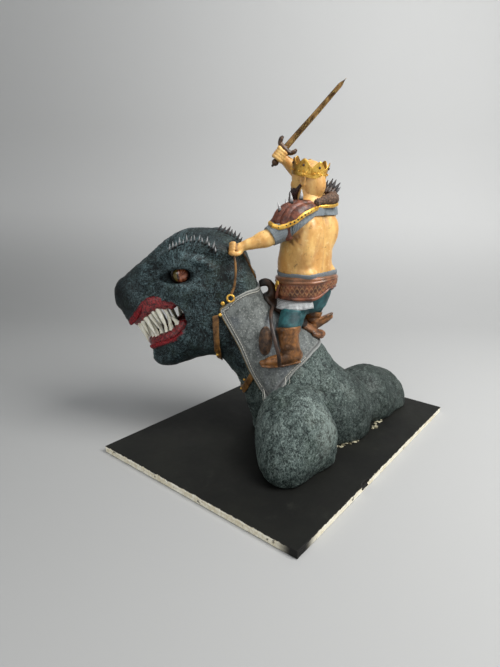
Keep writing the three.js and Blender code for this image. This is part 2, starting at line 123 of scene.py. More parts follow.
def loft(stations, sides=24, steps=24, across=(0, 1, 0), heading=None, power=2.0, ends=(1, 1)):
    # stations are [x, y, z, deep, wide]; each end is rounded by its share of the radius, or flat at 0
    rows = np.array([list(row) + [row[3]] * (5 - len(row)) for row in stations], float)
    line = curve(rows, steps + 1)
    ahead = np.gradient(line[:, :3], axis=0)
    if heading is not None:
        ahead[:] = heading
    angle = np.linspace(0, 2 * math.pi, sides, endpoint=False)
    cos, sin = np.cos(angle), np.sin(angle)
    roundWide = np.sign(cos) * np.abs(cos) ** (2 / power)
    roundDeep = np.sign(sin) * np.abs(sin) ** (2 / power)
    rings, tips = [], []

    def ring(row, forward, lift, shrink):
        forward = unit(forward)
        wideWay = unit(np.asarray(across, float) - forward * np.dot(across, forward))
        deepWay = np.cross(forward, wideWay)
        centre = row[:3] + forward * lift
        wide = np.outer(roundWide, wideWay) * max(row[4], 0.01) * shrink
        deep = np.outer(roundDeep, deepWay) * max(row[3], 0.01) * shrink
        rings.append(centre + wide + deep)

    for end, row, forward in ((0, line[0], ahead[0]), (1, line[-1], ahead[-1])):
        size = ends[end] * min(row[3], row[4])
        caps = [k / 5 * math.pi / 2 for k in range(1, 5)] if size > 0 else []
        if end == 0:
            for lift in reversed(caps):
                ring(row, forward, -size * math.sin(lift), math.cos(lift))
            for k in range(steps + 1):
                ring(line[k], ahead[k], 0, 1)
            tips.append(row[:3] - unit(forward) * size)
        else:
            for lift in caps:
                ring(row, forward, size * math.sin(lift), math.cos(lift))
            tips.append(row[:3] + unit(forward) * size)
    count = len(rings)
    faces = ringFaces(count, sides) + capFaces(sides, count * sides, count * sides + 1, (count - 1) * sides)
    return np.vstack(rings + tips), faces


def tube(path, radius, sides=8, steps=12, ends=(1, 1), across=(0, 0, 1)):
    return loft([list(at) + [radius] for at in path], sides, steps, across, ends=ends)


def spike(root, tip, radius, sides=7, bend=(0, 0, 0)):
    root, tip = np.asarray(root, float), np.asarray(tip, float)
    middle = (root + tip) / 2 + np.asarray(bend, float)
    across = (0, 0, 1) if abs(unit(tip - root)[2]) < 0.8 else (1, 0, 0)
    rows = [[*root, radius], [*middle, radius * 0.66], [*tip, radius * 0.12]]
    return loft(rows, sides, 6, across, ends=(0.3, 0.8))


def ball(centre, radii, turn=0.0, count=20):
    along = np.linspace(0, math.pi, count + 1)[1:-1]
    around = np.linspace(0, 2 * math.pi, 2 * count, endpoint=False)
    rings = []
    for a in along:
        rings += [(math.sin(a) * math.cos(b), math.sin(a) * math.sin(b), math.cos(a)) for b in around]
    points = np.vstack([rings, [[0, 0, 1], [0, 0, -1]]]) * np.asarray(radii, float)
    turned = np.array(Matrix.Rotation(turn, 3, "Z"))
    sides, rows = 2 * count, count - 1
    faces = ringFaces(rows, sides, flip=True)
    for i in range(sides):
        j = (i + 1) % sides
        faces += [(rows * sides, i, j), (rows * sides + 1, (rows - 1) * sides + j, (rows - 1) * sides + i)]
    return points @ turned.T + np.asarray(centre, float), faces


def revolve(section, at, turn, oval=1.0, tilt=0.0, count=180):
    # a closed half section of (radius, height), counter-clockwise, turned round an upright line
    angle = np.linspace(0, 2 * math.pi, count, endpoint=False)
    rings = np.array([[(r * math.cos(a), r * math.sin(a) * oval, z) for r, z in section] for a in angle])
    points = rings.reshape(-1, 3)
    turned = np.array(Matrix.Rotation(turn, 3, "Z") @ Matrix.Rotation(tilt, 3, "Y"))
    return points @ turned.T + np.asarray(at, float), ringFaces(count, len(section), flip=True, closed=True)


def prism(outline, left, right):
    # a side-on outline of (forward, up), closed across the dragon
    flat = np.asarray(outline, float)
    count = len(flat)
    points = np.vstack([np.column_stack([flat[:, 0], np.full(count, y), flat[:, 1]]) for y in (right, left)])
    faces = ringFaces(2, count, flip=True)
    middle = flat.mean(axis=0)
    points = np.vstack([points, [[middle[0], right, middle[1]], [middle[0], left, middle[1]]]])
    for i in range(count):
        j = (i + 1) % count
        faces += [(2 * count, i, j), (2 * count + 1, count + j, count + i)]
    return points, faces


def together(*forms):
    points, faces, start = [], [], 0
    for some, sides in forms:
        points.append(some)
        faces += [tuple(start + k for k in side) for side in sides]
        start += len(some)
    return np.vstack(points), faces


def softMin(a, b, blend, far):
    low = np.minimum(a, b)
    if blend <= 0:
        return low
    share = np.clip(blend - np.abs(a - b), 0, None) / blend
    share[(a >= far) | (b >= far)] = 0
    return low - share * share * blend / 4


class Clay:
    # lumps are added and cut with soft joins, then the skin is taken off as a mesh
    def __init__(self, low, high, cell, reach=9):
        self.cell, self.reach, self.far = cell, reach, reach * cell * 0.999
        self.first = np.floor(np.array(low, float) / cell).astype(int)
        self.last = np.ceil(np.array(high, float) / cell).astype(int)
        self.field = np.full(self.last - self.first, self.far, np.float32)

    def near(self, form):
        points, faces = form
        triangles = np.array([side for side in faces if len(side) == 3], np.uint32).reshape(-1, 3)
        quads = np.array([side for side in faces if len(side) == 4], np.uint32).reshape(-1, 4)
        grid = openvdb.FloatGrid.createLevelSetFromPolygons(
            np.asarray(points, np.float32), triangles=triangles, quads=quads,
            transform=openvdb.createLinearTransform(self.cell), halfWidth=self.reach)
        low = np.maximum(np.floor(points.min(axis=0) / self.cell).astype(int) - self.reach - 1, self.first)
        high = np.minimum(np.ceil(points.max(axis=0) / self.cell).astype(int) + self.reach + 2, self.last)
        window = np.empty(np.maximum(high - low, 1), np.float32)
        grid.copyToArray(window, ijk=tuple(int(k) for k in low))
        place = tuple(slice(a, b) for a, b in zip(low - self.first, low - self.first + window.shape))
        return place, window

    def add(self, form, blend=0.0):
        place, window = self.near(form)
        self.field[place] = softMin(self.field[place], window, blend, self.far)

    def cut(self, form, blend=0.0):
        place, window = self.near(form)
        self.field[place] = -softMin(-self.field[place], window, blend, self.far)

    def axes(self):
        return [np.arange(a, b, dtype=np.float32) * self.cell for a, b in zip(self.first, self.last)]

    def places(self):
        return np.stack(np.meshgrid(*self.axes(), indexing="ij"), axis=-1).reshape(-1, 3)

    def keepIn(self, level):
        # takes away everything where the level is above zero
        self.field = np.maximum(self.field, level.reshape(self.field.shape)).astype(np.float32)

    def soften(self, rounds):
        for _ in range(rounds):
            for axis in range(3):
                f = np.moveaxis(self.field, axis, 0)
                f[1:-1] = (f[:-2] + 2 * f[1:-1] + f[2:]) / 4

    def at(self, points):
        place = np.asarray(points, float) / self.cell - self.first
        cell = np.clip(np.floor(place).astype(int), 0, np.array(self.field.shape) - 2)
        part = np.clip(place - cell, 0, 1)
        total = np.zeros(len(place))
        for corner in range(8):
            way = np.array([corner & 1, corner >> 1 & 1, corner >> 2 & 1])
            x, y, z = (cell + way).T
            total += self.field[x, y, z] * np.prod(np.where(way, part, 1 - part), axis=1)
        return total

    def skin(self):
        grid = openvdb.FloatGrid()
        grid.copyFromArray(self.field, ijk=tuple(int(k) for k in self.first))
        points, quads = grid.convertToQuads(isovalue=0)
        points = np.asarray(points, float) * self.cell
        a, b, c, d = (points[quads[:, k].astype(int)] for k in range(4))
        volume = np.einsum("ij,ij->i", a, np.cross(b, c) + np.cross(c, d)).sum()
        quads = quads.astype(int)
        return points, (quads if volume > 0 else quads[:, ::-1]).tolist()


def makePiece(name, form, finish, stands=(), flat=False):
    points, faces = form
    mesh = bpy.data.meshes.new(name)
    mesh.from_pydata(toRow(points).tolist(), [], faces)
    mesh.polygons.foreach_set("use_smooth", [not flat] * len(mesh.polygons))
    mesh.materials.append(finish)
    mesh.update()
    piece = bpy.data.objects.new(name, mesh)
    bpy.context.scene.collection.objects.link(piece)
    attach(piece, "root")
    if stands:
        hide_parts(*stands)
    return piece


def cast(clay, name, finish, stands=()):
    form = clay.skin()
    return makePiece(name, form, finish, stands), form[0]


def setPoints(piece, points):
    piece.data.vertices.foreach_set("co", toRow(points).astype(np.float32).ravel())


def normalsOf(piece):
    found = np.zeros(len(piece.data.vertices) * 3, np.float32)
    piece.data.vertex_normals.foreach_get("vector", found)
    return found.reshape(-1, 3).astype(float) @ np.array(Matrix.Rotation(headTurn, 3, "Z"))


def relief(piece, points, amounts):
    moved = points + normalsOf(piece) * np.asarray(amounts)[:, None]
    setPoints(piece, moved)
    piece.data.update()
    return moved


def mark(piece, name, values):
    values = np.asarray(values, np.float32)
    kind = "FLOAT" if values.ndim == 1 else "FLOAT_VECTOR"
    layer = piece.data.attributes.new(name, kind, "POINT")
    layer.data.foreach_set("value" if values.ndim == 1 else "vector", values.ravel())


class Wire:
    def __init__(self, paint, socket):
        self.paint, self.socket = paint, socket

    def sum(self, kind, first, second):
        return self.paint.node("ShaderNodeMath", {"operation": kind}, {0: first, 1: second})

    def __add__(self, other):
        return self.sum("ADD", self, other)

    def __radd__(self, other):
        return self.sum("ADD", other, self)

    def __sub__(self, other):
        return self.sum("SUBTRACT", self, other)

    def __rsub__(self, other):
        return self.sum("SUBTRACT", other, self)

    def __mul__(self, other):
        return self.sum("MULTIPLY", self, other)

    def __rmul__(self, other):
        return self.sum("MULTIPLY", other, self)


class Paint:
    def __init__(self, name, **shader):
        self.material = bpy.data.materials.new(name)
        self.material.use_nodes = True
        self.tree = self.material.node_tree
        self.shader = next(n for n in self.tree.nodes if n.type == "BSDF_PRINCIPLED")
        for socket, value in shader.items():
            self.shader.inputs[socket.replace("_", " ")].default_value = value

    def node(self, kind, settings=None, sockets=None, output=0):
        made = self.tree.nodes.new(kind)
        for name, value in (settings or {}).items():
            if name == "stops":
                ramp = made.color_ramp
                while len(ramp.elements) < len(value):
                    ramp.elements.new(0.5)
                for element, (place, colour) in zip(ramp.elements, value):
                    element.position, element.color = place, colour
            else:
                setattr(made, name, value)
        for name, value in (sockets or {}).items():
            if isinstance(value, Wire):
                self.tree.links.new(value.socket, made.inputs[name])
            else:
                made.inputs[name].default_value = value
        return Wire(self, made.outputs[output])

    def feed(self, socket, wire):
        self.tree.links.new(wire.socket, self.shader.inputs[socket])

    def place(self):
        return self.node("ShaderNodeTexCoord", output="Object")

    def layer(self, name, output="Fac"):
        return self.node("ShaderNodeAttribute", {"attribute_name": name}, output=output)

    def noise(self, vector, scale, detail=3.0, roughness=0.55, distortion=0.0):
        return self.node("ShaderNodeTexNoise", None, {
            "Vector": vector, "Scale": scale, "Detail": detail, "Roughness": roughness,
            "Distortion": distortion})

    def stretch(self, vector, x, y, z):
        return self.node("ShaderNodeVectorMath", {"operation": "MULTIPLY"}, {0: vector, 1: (x, y, z)})

    def ramp(self, value, low, high):
        return self.node("ShaderNodeMapRange", {"interpolation_type": "SMOOTHSTEP"}, {
            "Value": value, "From Min": low, "From Max": high})

    def mix(self, share, first, second):
        return self.node("ShaderNodeMix", {"data_type": "RGBA"}, {0: share, 6: first, 7: second}, output=2)

    def bump(self, height, strength, distance):
        self.feed("Normal", self.node("ShaderNodeBump", None, {
            "Strength": strength, "Distance": distance, "Height": height}, output="Normal"))


def tone(*colour):
    # screen values from 0 to 255, as linear light
    return tuple(((c / 255 + 0.055) / 1.055) ** 2.4 if c > 10 else c / 255 / 12.92 for c in colour) + (1.0,)


def scaled(colour, share, lift=0.0):
    return tuple(min(share * c + lift, 1) for c in colour[:3]) + (1,)


stage = {
    "lens": 25.46, "eye": (-0.5276, -0.3339, 0.3242),
    "forward": (0.757, 0.592, -0.278), "right": (0.621, -0.783, 0.025),
    "wall": 1.15, "curve": 0.55,
    # right, back and up from the board, height aimed at, width, height, power, colour
    "lights": {
        "window": (0.95, 0.5, 1.4, 0.15, 0.8, 1.0, 31, (1, 0.985, 0.955)),
        "ceiling": (0.1, 0.2, 2.1, 0, 1.4, 1.4, 10, (0.97, 0.985, 1)),
        "fill": (-1.0, 1.5, 0.9, 0.2, 1.2, 1.2, 8.5, (1, 0.985, 0.96))},
}


def makeStage():
    forward = Vector(stage["forward"]).normalized()
    right = Vector(stage["right"])
    right = (right - forward * right.dot(forward)).normalized()
    up = right.cross(forward)
    camera = bpy.data.objects.new("camera", bpy.data.cameras.new("camera"))
    camera.data.lens, camera.data.sensor_width = stage["lens"], 36
    turned = Matrix((right, up, -forward)).transposed().to_4x4()
    camera.matrix_world = Matrix.Translation(stage["eye"]) @ turned
    bpy.context.scene.collection.objects.link(camera)
    bpy.context.scene.camera = camera

    # the floor curves up into the backdrop behind the work
    heading = Vector((forward.x, forward.y, 0)).normalized()
    aside = Vector((heading.y, -heading.x, 0))
    wall, bend = stage["wall"], stage["curve"]
    profile = [(-3.5, 0.0), (wall - bend, 0.0)]
    for a in np.linspace(0.1, math.pi / 2, 14):
        profile.append((wall - bend + bend * math.sin(a), bend - bend * math.cos(a)))
    profile += [(wall, 4.0)]
    points = [heading * x + aside * y + Vector((0, 0, z)) for x, z in profile for y in (-4.5, 4.5)]
    faces = [(2 * i, 2 * i + 1, 2 * i + 3, 2 * i + 2) for i in range(len(profile) - 1)]
    mesh = bpy.data.meshes.new("backdrop")
    mesh.from_pydata([tuple(p) for p in points], [], faces)
    mesh.polygons.foreach_set("use_smooth", [True] * len(faces))
    paper = Paint("palePaper", Roughness=0.9)
    cloud = paper.noise(paper.place(), 1.3, 2)
    # painted shade: the paper is darker towards the left and on the floor
    low = paper.layer("low")
    pale = paper.mix(low, paper.mix(cloud, tone(206, 207, 207), tone(212, 213, 213)), tone(184, 185, 185))
    shade = paper.ramp(paper.layer("shade"), 0.44, 0.6)
    paper.feed("Base Color", paper.mix(shade * (0.34 + low * 0.3), pale, tone(120, 121, 121)))
    mesh.materials.append(paper.material)
    backdrop = bpy.data.objects.new("backdrop", mesh)
    bpy.context.scene.collection.objects.link(backdrop)
    across = np.array([p.dot(aside) for p in points])
    mark(backdrop, "shade", 0.5 - across / 9)
    mark(backdrop, "low", step(0.3, 0, np.array([p.z for p in points])))

    for name, (right, back, up, aim, wide, tall, power, colour) in stage["lights"].items():
        light = bpy.data.objects.new(name, bpy.data.lights.new(name, "AREA"))
        light.data.shape, light.data.size, light.data.size_y = "RECTANGLE", wide, tall
        light.data.energy, light.data.color = power, colour
        light.location = aside * right - heading * back + Vector((0, 0, up))
        light.rotation_mode = "QUATERNION"
        light.rotation_quaternion = (Vector((0, 0, aim)) - light.location).to_track_quat("-Z", "Y")
        bpy.context.scene.collection.objects.link(light)
    world = bpy.data.worlds.new("room")
    world.use_nodes = True
    world.node_tree.nodes["Background"].inputs["Color"].default_value = (0.83, 0.86, 0.9, 1)
    world.node_tree.nodes["Background"].inputs["Strength"].default_value = 0.25
    bpy.context.scene.world = world
    bpy.context.scene.view_settings.view_transform = "Standard"  # keeps the paint colours true


makeStage()
print("stage ready")


dragon = {
    "cell": 1.92,
    # x, y, z, deep, wide
    "neck": [
        (-24, 0, -4, 76, 66), (-14, 0, 30, 74, 64), (2, 0, 64, 69, 59), (18, 0, 90, 63, 55),
        (38, 0, 112, 56, 52), (62, 0, 134, 49, 49), (84, 0, 160, 46, 47), (98, 0, 184, 40, 44)],
    # forward, top, bottom, half width
    "head": [
        (62, 224, 168, 34), (69, 246, 140, 47), (80, 264, 119, 54), (100, 275, 109, 58), (122, 276, 105, 59),
        (145, 275, 98, 57), (162, 268, 91, 54), (178, 257, 89, 50), (190, 246, 95, 47), (204, 233, 116, 43),
        (220, 220, 144, 37), (233, 208, 166, 27)],
    # centre, radii, turned with the body
    "body": [
        ((5, 98, 38), (48, 52, 60), 0), ((16, 128, 20), (31, 38, 34), 0), ((-22, 96, 24), (28, 28, 40), 0),
        ((-60, 0, 20), (58, 55, 64), 1), ((-30, 20, 30), (52, 46, 66), 1), ((-8, -60, 4), (46, 44, 38), 0),
        ((-116, -66, 12), (58, 50, 57), 1), ((-148, -98, 4), (40, 46, 50), 1)],
    "brow": [(98, 44, 250, 9), (126, 48, 256, 10), (152, 45, 249, 9), (172, 38, 238, 7)],
    "noseFold": [(182, 50, 224, 3), (196, 46, 216, 4), (208, 43, 204, 3)],
    # upper lid, lower lid, the roll under the brow and the cheek bone: x, y, z, radius; sides; blend
    "eyeRolls": [
        ([(126, 50, 223, 3), (135, 57, 231.5, 4), (147, 60, 234.5, 4.4), (162, 58, 230, 4.4),
          (178, 51, 219, 3)], 10, 4),
        ([(126, 50, 220, 3), (136, 56, 212, 4), (150, 58, 208.5, 4.4), (165, 56, 209, 4.4),
          (180, 51, 214, 3)], 10, 4),
        ([(112, 53, 232, 4), (124, 57, 240, 5), (146, 58, 243, 5), (166, 52, 236, 4)], 10, 6),
        ([(190, 46, 203, 3), (170, 51, 200, 6), (146, 54, 198, 7), (122, 55, 204, 5)], 12, 8)],
    "mouth": [
        (260, 152), (218, 156), (211, 163), (202, 177), (192, 187), (178, 191), (160, 191), (147, 187),
        (137, 174), (137, 160), (144, 148), (156, 138), (172, 131), (187, 124), (197, 116), (199, 106),
        (204, 96), (260, 80)],
    "eye": (149, 42, 222), "eyeSize": 14,
}
bodyTurn = math.pi - headTurn


def headSide(x, z):
    # how far out the side of the head is at that place
    rows = np.array(dragon["head"], float)
    top, bottom, half = (np.interp(x, rows[:, 0], rows[:, k]) for k in (1, 2, 3))
    share = min(abs(2 * z - top - bottom) / (top - bottom), 0.98)
    return half * (1 - share**2.3) ** (1 / 2.3)


def insideBy(outline, x, z):
    # how far inside an outline each place is, negative outside
    outline = np.asarray(outline, float)
    a, b = outline, np.roll(outline, -1, axis=0)
    best = np.full(x.shape, 1e9)
    inside = np.zeros(x.shape, bool)
    for (ax, az), (bx, bz) in zip(a, b):
        ex, ez = bx - ax, bz - az
        share = np.clip(((x - ax) * ex + (z - az) * ez) / (ex * ex + ez * ez), 0, 1)
        best = np.minimum(best, np.hypot(x - ax - share * ex, z - az - share * ez))
        crosses = ((az > z) != (bz > z)) & (x < ex * (z - az) / np.where(ez == 0, 1e-9, ez) + ax)
        inside ^= crosses
    return np.where(inside, best, -best)


def rimOf(outline, out, radius, count):
    # a lip that follows an outline on the side of the head
    line = curve([(x, z, 0) for x, z in outline], count)
    ahead = np.gradient(line, axis=0)
    rows = []
    for (x, z, _), (dx, dz, _) in zip(line, ahead):
        way = unit((-dz, dx))
        x, z = x - way[0] * out, z - way[1] * out
        rows.append((x, headSide(x, z) - radius * 0.45, z, radius))
    return rows


def sculptDragon():
    clay = Clay((-206, -152, -4), (246, 170, 292), dragon["cell"])
    clay.add(loft(dragon["neck"], 40, 40, ends=(0, 0.4)))
    sections = []
    for x, top, bottom, half in dragon["head"]:
        sections.append((x, 0, (top + bottom) / 2, (top - bottom) / 2, half))
    clay.add(loft(sections, 48, 48, heading=(1, 0, 0), power=2.3, ends=(0.25, 0.45)), 12)
    for centre, radii, turned in dragon["body"]:
        clay.add(ball(centre, radii, bodyTurn * turned, 28), 13)
    for side in (1, -1):
        def both(rows):
            return [(row[0], side * row[1], *row[2:]) for row in rows]

        x, y, z = dragon["eye"]
        clay.add(loft(both(dragon["brow"]), 14, 20), 9)
        # the hollow round the eye, and the fold that runs from it to the nose
        clay.cut(ball((x + 11, side * (y + 12), z - 1), (27, 10, 9), 0, 16), 7)
        clay.cut(loft(both(dragon["noseFold"]), 10, 12), 7)
        for rows, sides, blend in dragon["eyeRolls"]:
            clay.add(loft(both(rows), sides, 20), blend)
        # cheek muscle, nose and chin
        clay.add(ball((113, side * 47, 158), (20, 12, 34), 0.0, 16), 10)
        clay.add(ball((222, side * 22, 200), (11, 9, 11), 0.0, 14), 8)
        clay.cut(ball((232, side * 17, 193), (4, 4, 3), 0.0, 10), 4)
    clay.soften(2)
    clay.cut(prism(dragon["mouth"], 90, -90), 2)
    upper, lower = dragon["mouth"][1:9], dragon["mouth"][8:15]
    for side in (1, -1):
        for rim in (rimOf(upper, -2.4, 2.9, 24), rimOf(lower, -2.2, 2.6, 22)):
            clay.add(loft([(x, side * y, z, radius) for x, y, z, radius in rim], 10, 40), 4)
    clay.cut(prism([(260, 66), (201, 88), (194, 100), (189, 110), (188, 124), (260, 152)], 90, -90), 3)
    x, y, z = dragon["eye"]
    for side in (1, -1):
        clay.cut(ball((x, side * y, z), (dragon["eyeSize"] + 0.3,) * 3, 0, 18), 0)
    clay.field = np.maximum(clay.field, 0.3 - clay.axes()[2][None, None, :])
    return clay


def flows(points):
    # three sets of stroke directions: down the body, out from the eye, and round the throat
    x, y, z = points.T
    sway = np.column_stack([grain(points, 30, 3), grain(points, 30, 4), grain(points, 30, 5)]) * 3.2
    body = points + sway
    body[:, 2] *= 0.5
    eye = np.array(dragon["eye"], float)
    away = np.column_stack([x - eye[0], z - eye[2]])
    reach = np.linalg.norm(away, axis=1)
    circle = away / np.maximum(reach, 1)[:, None]
    head = np.column_stack([circle * 40, reach * 0.55 + y * 0.5]) + sway * 1.6
    throat = np.column_stack([x * 0.15, y * 0.2, z * 0.95 + x * 0.3]) + sway * 0.5
    return body, head, throat


def finishDragon(clay, paint):
    piece, points = cast(clay, "dragonSkin", paint, ["dragon"])
    out = normalsOf(piece)
    x, y, z = points.T
    headShare = step(58, 74, x) * step(88, 100, z + (x - 74) * 0.25)
    throatShare = step(0.35, 0.75, out[:, 0]) * step(38, 26, np.abs(y)) * step(12, 30, z) * step(128, 110, z)
    throatShare *= 1 - headShare
    body, head, throat = flows(points)
    bodyWork = folds(body, 7, 1) * 0.9 + folds(body, 3.6, 2) * 0.6
    headWork = folds(head, 5.5, 6) * 0.7 + folds(head, 3.4, 7) * 0.6
    throatWork = folds(throat, 4.6, 8) * 1.2
    work = bodyWork * (1 - headShare) + headWork * headShare
    work = work * (1 - throatShare) + throatWork * throatShare
    # long folds that run up the neck and over the back
    pull = np.column_stack([x, y, z * 0.12 + x * 0.1])
    long = grain(pull, 15, 11) * step(30, 70, z) * step(75, 55, x) * step(170, 140, z)
    lumps = grain(points, 22, 12) * 0.8 + grain(points, 11, 13) * 0.5
    eye = np.array(dragon["eye"])
    fromEye = np.linalg.norm(np.column_stack([x - eye[0], np.abs(y) - eye[1], z - eye[2]]), axis=1)
    calm = step(14, 24, fromEye)
    calm *= step(0.3, 3, z)
    # smoother inside the mouth
    side = np.array([headSide(a, b) if 130 < a < 240 and 90 < b < 196 else 0 for a, b in zip(x, z)])
    inside = step(2, -1.5, np.abs(y) - side + 3) * ((x > 130) & (z > 92) & (z < 194) & (np.abs(y) < 46))
    amount = (work - 0.7) * calm + long * 1.3 + lumps * (0.4 + 0.6 * (1 - headShare)) * step(0.5, 8, z)
    amount *= 1 - 0.6 * inside
    amount += (folds(points * (1, 1, 0.55), 36, 16) - 0.6) * 2.4 * step(52, 34, z) * step(0.5, 8, z)
    points = relief(piece, points, amount)
    points[:, 2] = np.maximum(points[:, 2], 0.3)
    setPoints(piece, points)
    mark(piece, "flowBody", body)
    mark(piece, "flowHead", head)
    mark(piece, "flowThroat", throat)
    mark(piece, "headShare", headShare)
    mark(piece, "throatShare", throatShare)
    mark(piece, "ridge", np.clip(work / 1.2, 0, 1))
    # painted shade: the rear of the body is darker
    mark(piece, "rear", step(-30, -95, x))
    mark(piece, "eyeShade", step(26, 13, fromEye) * (np.abs(y) > 30))
    # darker towards the snout's front and over the top of the head; under the jaw it is painted shade
    snout = step(190, 226, x) + step(250, 276, z) * 0.8 + step(112, 92, z) * (x > 120) * 0.4
    mark(piece, "snout", np.clip(snout, 0, 1))
    # the painted lips: broad at the front of the upper jaw, thin at the corner
    near = insideBy(dragon["mouth"], x, z)
    broad = -1.9 + 4.0 * step(176, 206, x) * step(148, 160, z) + 2.0 * step(146, 136, z)
    lip = step(-broad - 0.8, -broad + 0.8, near + grain(points, 5, 14) * 1.1)
    lip *= (x > 134) * (x < 232) * (z > 98) * (1 - step(158, 150, x) * step(150, 156, z))
    mark(piece, "lip", lip)
    relief(piece, points, lip * (0.4 + grain(points, 2.6, 15) * 0.5))


def dragonPaint():
    paint = Paint("drybrushedTealSkin", Roughness=0.5, Specular_IOR_Level=0.3)
    headShare, throatShare = paint.layer("headShare"), paint.layer("throatShare")
    strokes = []
    for name, seed in (("flowBody", 0.52), ("flowHead", 0.6), ("flowThroat", 0.5)):
        strokes.append(paint.noise(paint.layer(name, "Vector"), seed, 3.5, 0.62, 0.25))
    across = paint.noise(paint.stretch(paint.place(), 0.4, 1, 0.7), 520, 3, 0.6, 0.3)
    strokes[0] = strokes[0] * 0.62 + across * 0.38
    strokes[1] = strokes[1] * 0.58 + across * 0.42
    stroke = strokes[0] * (1 - headShare) + strokes[1] * headShare
    stroke = stroke * (1 - throatShare) + strokes[2] * throatShare
    where = paint.place()
    patch = paint.noise(where, 17, 2.5)
    blotch = paint.noise(where, 45, 3)
    ridge = paint.layer("ridge")
    worn = paint.ramp(stroke + ridge * 0.16 + (patch - 0.5) * 0.4, 0.52, 0.66)
    glint = paint.ramp(stroke + ridge * 0.12 + (patch - 0.5) * 0.5 + headShare * 0.01, 0.615, 0.73)
    vein = paint.noise(paint.stretch(where, 0.8, 1, 0.75), 230, 3, 0.6, 1.4) - 0.5
    thin = paint.ramp(vein * vein, 0.0022, 0.0002) * paint.ramp(ridge + patch, 0.35, 0.9)
    bodyColour = paint.mix(worn, tone(27, 38, 37), tone(70, 83, 80))
    headColour = paint.mix(worn, tone(7, 13, 14), tone(24, 38, 41))
    base = paint.mix(headShare, bodyColour, headColour)
    green = paint.mix(paint.ramp(blotch, 0.45, 0.75) * 0.45, base, tone(44, 58, 46))
    warm = paint.mix(paint.ramp(patch, 0.56, 0.72) * 0.3 * (1 - headShare), green, tone(98, 96, 88))
    pale = paint.mix(headShare, tone(134, 148, 143), tone(98, 120, 124))
    lit = paint.mix(glint * 0.55 + thin * 0.42, warm, pale)
    # painted shade: the creases, where the ridge mark is low, are darkened towards near black
    hollow = paint.ramp(ridge, 0.32, 0.02) * 0.75
    deep = paint.mix(hollow, lit, tone(12, 18, 20))
    dark = paint.mix(paint.layer("snout") * 0.62, deep, tone(10, 14, 16))
    shaded = paint.mix(paint.layer("eyeShade") * 0.85, dark, tone(8, 9, 9))
    fleck = paint.noise(where, 620, 3, 0.6)
    flesh = paint.mix(paint.ramp(fleck, 0.38, 0.62), tone(74, 10, 16), tone(150, 30, 38))
    # painted shade on the rear of the body
    dim = paint.mix(paint.layer("rear") * 0.55, shaded, tone(22, 28, 25))
    paint.feed("Base Color", paint.mix(paint.layer("lip"), dim, flesh))
    paint.feed("Roughness", 0.6 - glint * 0.2 - paint.layer("lip") * 0.2)
    paint.bump(stroke + paint.noise(where, 900, 2) * 0.3, 0.75, 0.0012)
    return paint.material


dragonClay = sculptDragon()
print("dragon sculpted")
finishDragon(dragonClay, dragonPaint())
print("dragon finished")


mouth = {
    "gum": 6.5,
    "upper": [(160, 47, 186), (176, 46, 185), (190, 42, 178), (202, 34, 166), (210, 20, 156), (212, 0, 154)],
    "lower": [(146, 41, 157), (155, 41, 146), (168, 38, 138), (181, 31, 131), (189, 18, 127), (192, 0, 126)],
    "upperTeeth": 22, "lowerTeeth": 20, "upperLean": (-0.5, -1.0), "lowerLean": (0.45, 1.0),
    "toothWide": 3.7, "toothLong": 33,
}


def wholeRow(path):
    return list(path) + [(x, -y, z) for x, y, z in reversed(path[:-1])]


def evenly(path, count):
    # places at equal distances along a row
    line = curve(path, 400)
    run = np.concatenate([[0], np.cumsum(np.linalg.norm(np.diff(line, axis=0), axis=1))])
    want = (np.arange(count) + 0.5) / count * run[-1]
    return np.column_stack([np.interp(want, run, line[:, k]) for k in range(3)])


def makeGum(name, path, count, lean, paint, stands):
    row = wholeRow(path)
    clay = Clay((130, -64, 110), (232, 64, 208), 1.1)
    clay.add(tube(row, mouth["gum"] + 0.6, 14, 60))
    if lean[1] < 0:
        # a fleshy band between the upper teeth and the lip
        clay.add(tube([(x + 3 * (x > 180), y * 1.05, z + 7) for x, y, z in row], 4.6, 12, 60), 4)
    for at in evenly(row, count):
        # the gum swells a little round each root
        clay.add(ball(at + np.array([lean[0], 0, lean[1]]) * 4.5, (3.2, 3.2, 4.2), 0, 10), 2.5)
    piece, points = cast(clay, name, paint, [stands])
    relief(piece, points, grain(points, 2.4, 3) * 0.42 + grain(points, 4.6, 4) * 0.4)


def tooth(root, way, long, wide, seed, out):
    # a long cone, slightly bent, with a flattened root and lengthwise ridges
    way = unit(way)
    bend = np.array(out) * (1.4 * math.sin(seed * 2.1)) + np.array([0.6 * math.cos(seed), 0, 0])
    rows = []
    for share in (0, 0.2, 0.5, 0.8, 0.95, 1):
        size = wide * (1.0 - 0.12 * share - 0.70 * max(0, share - 0.12) ** 1.25)
        at = root + way * long * share + bend * math.sin(math.pi * share)
        rows.append((*at, max(size * (0.72 if share > 0.9 else 1), 0.5), max(size * 0.9, 0.45)))
    points, faces = loft(rows, 12, 12, out, ends=(0.2, 1))
    ring = np.arange(len(points)) % 12
    swell = 1 + 0.05 * np.cos(ring * math.pi / 2 + seed) + 0.04 * np.cos(ring * math.pi * 5 / 6 + 2 * seed)
    middle = root + np.outer((points - root) @ way, way)
    return middle + (points - middle) * swell[:, None], faces


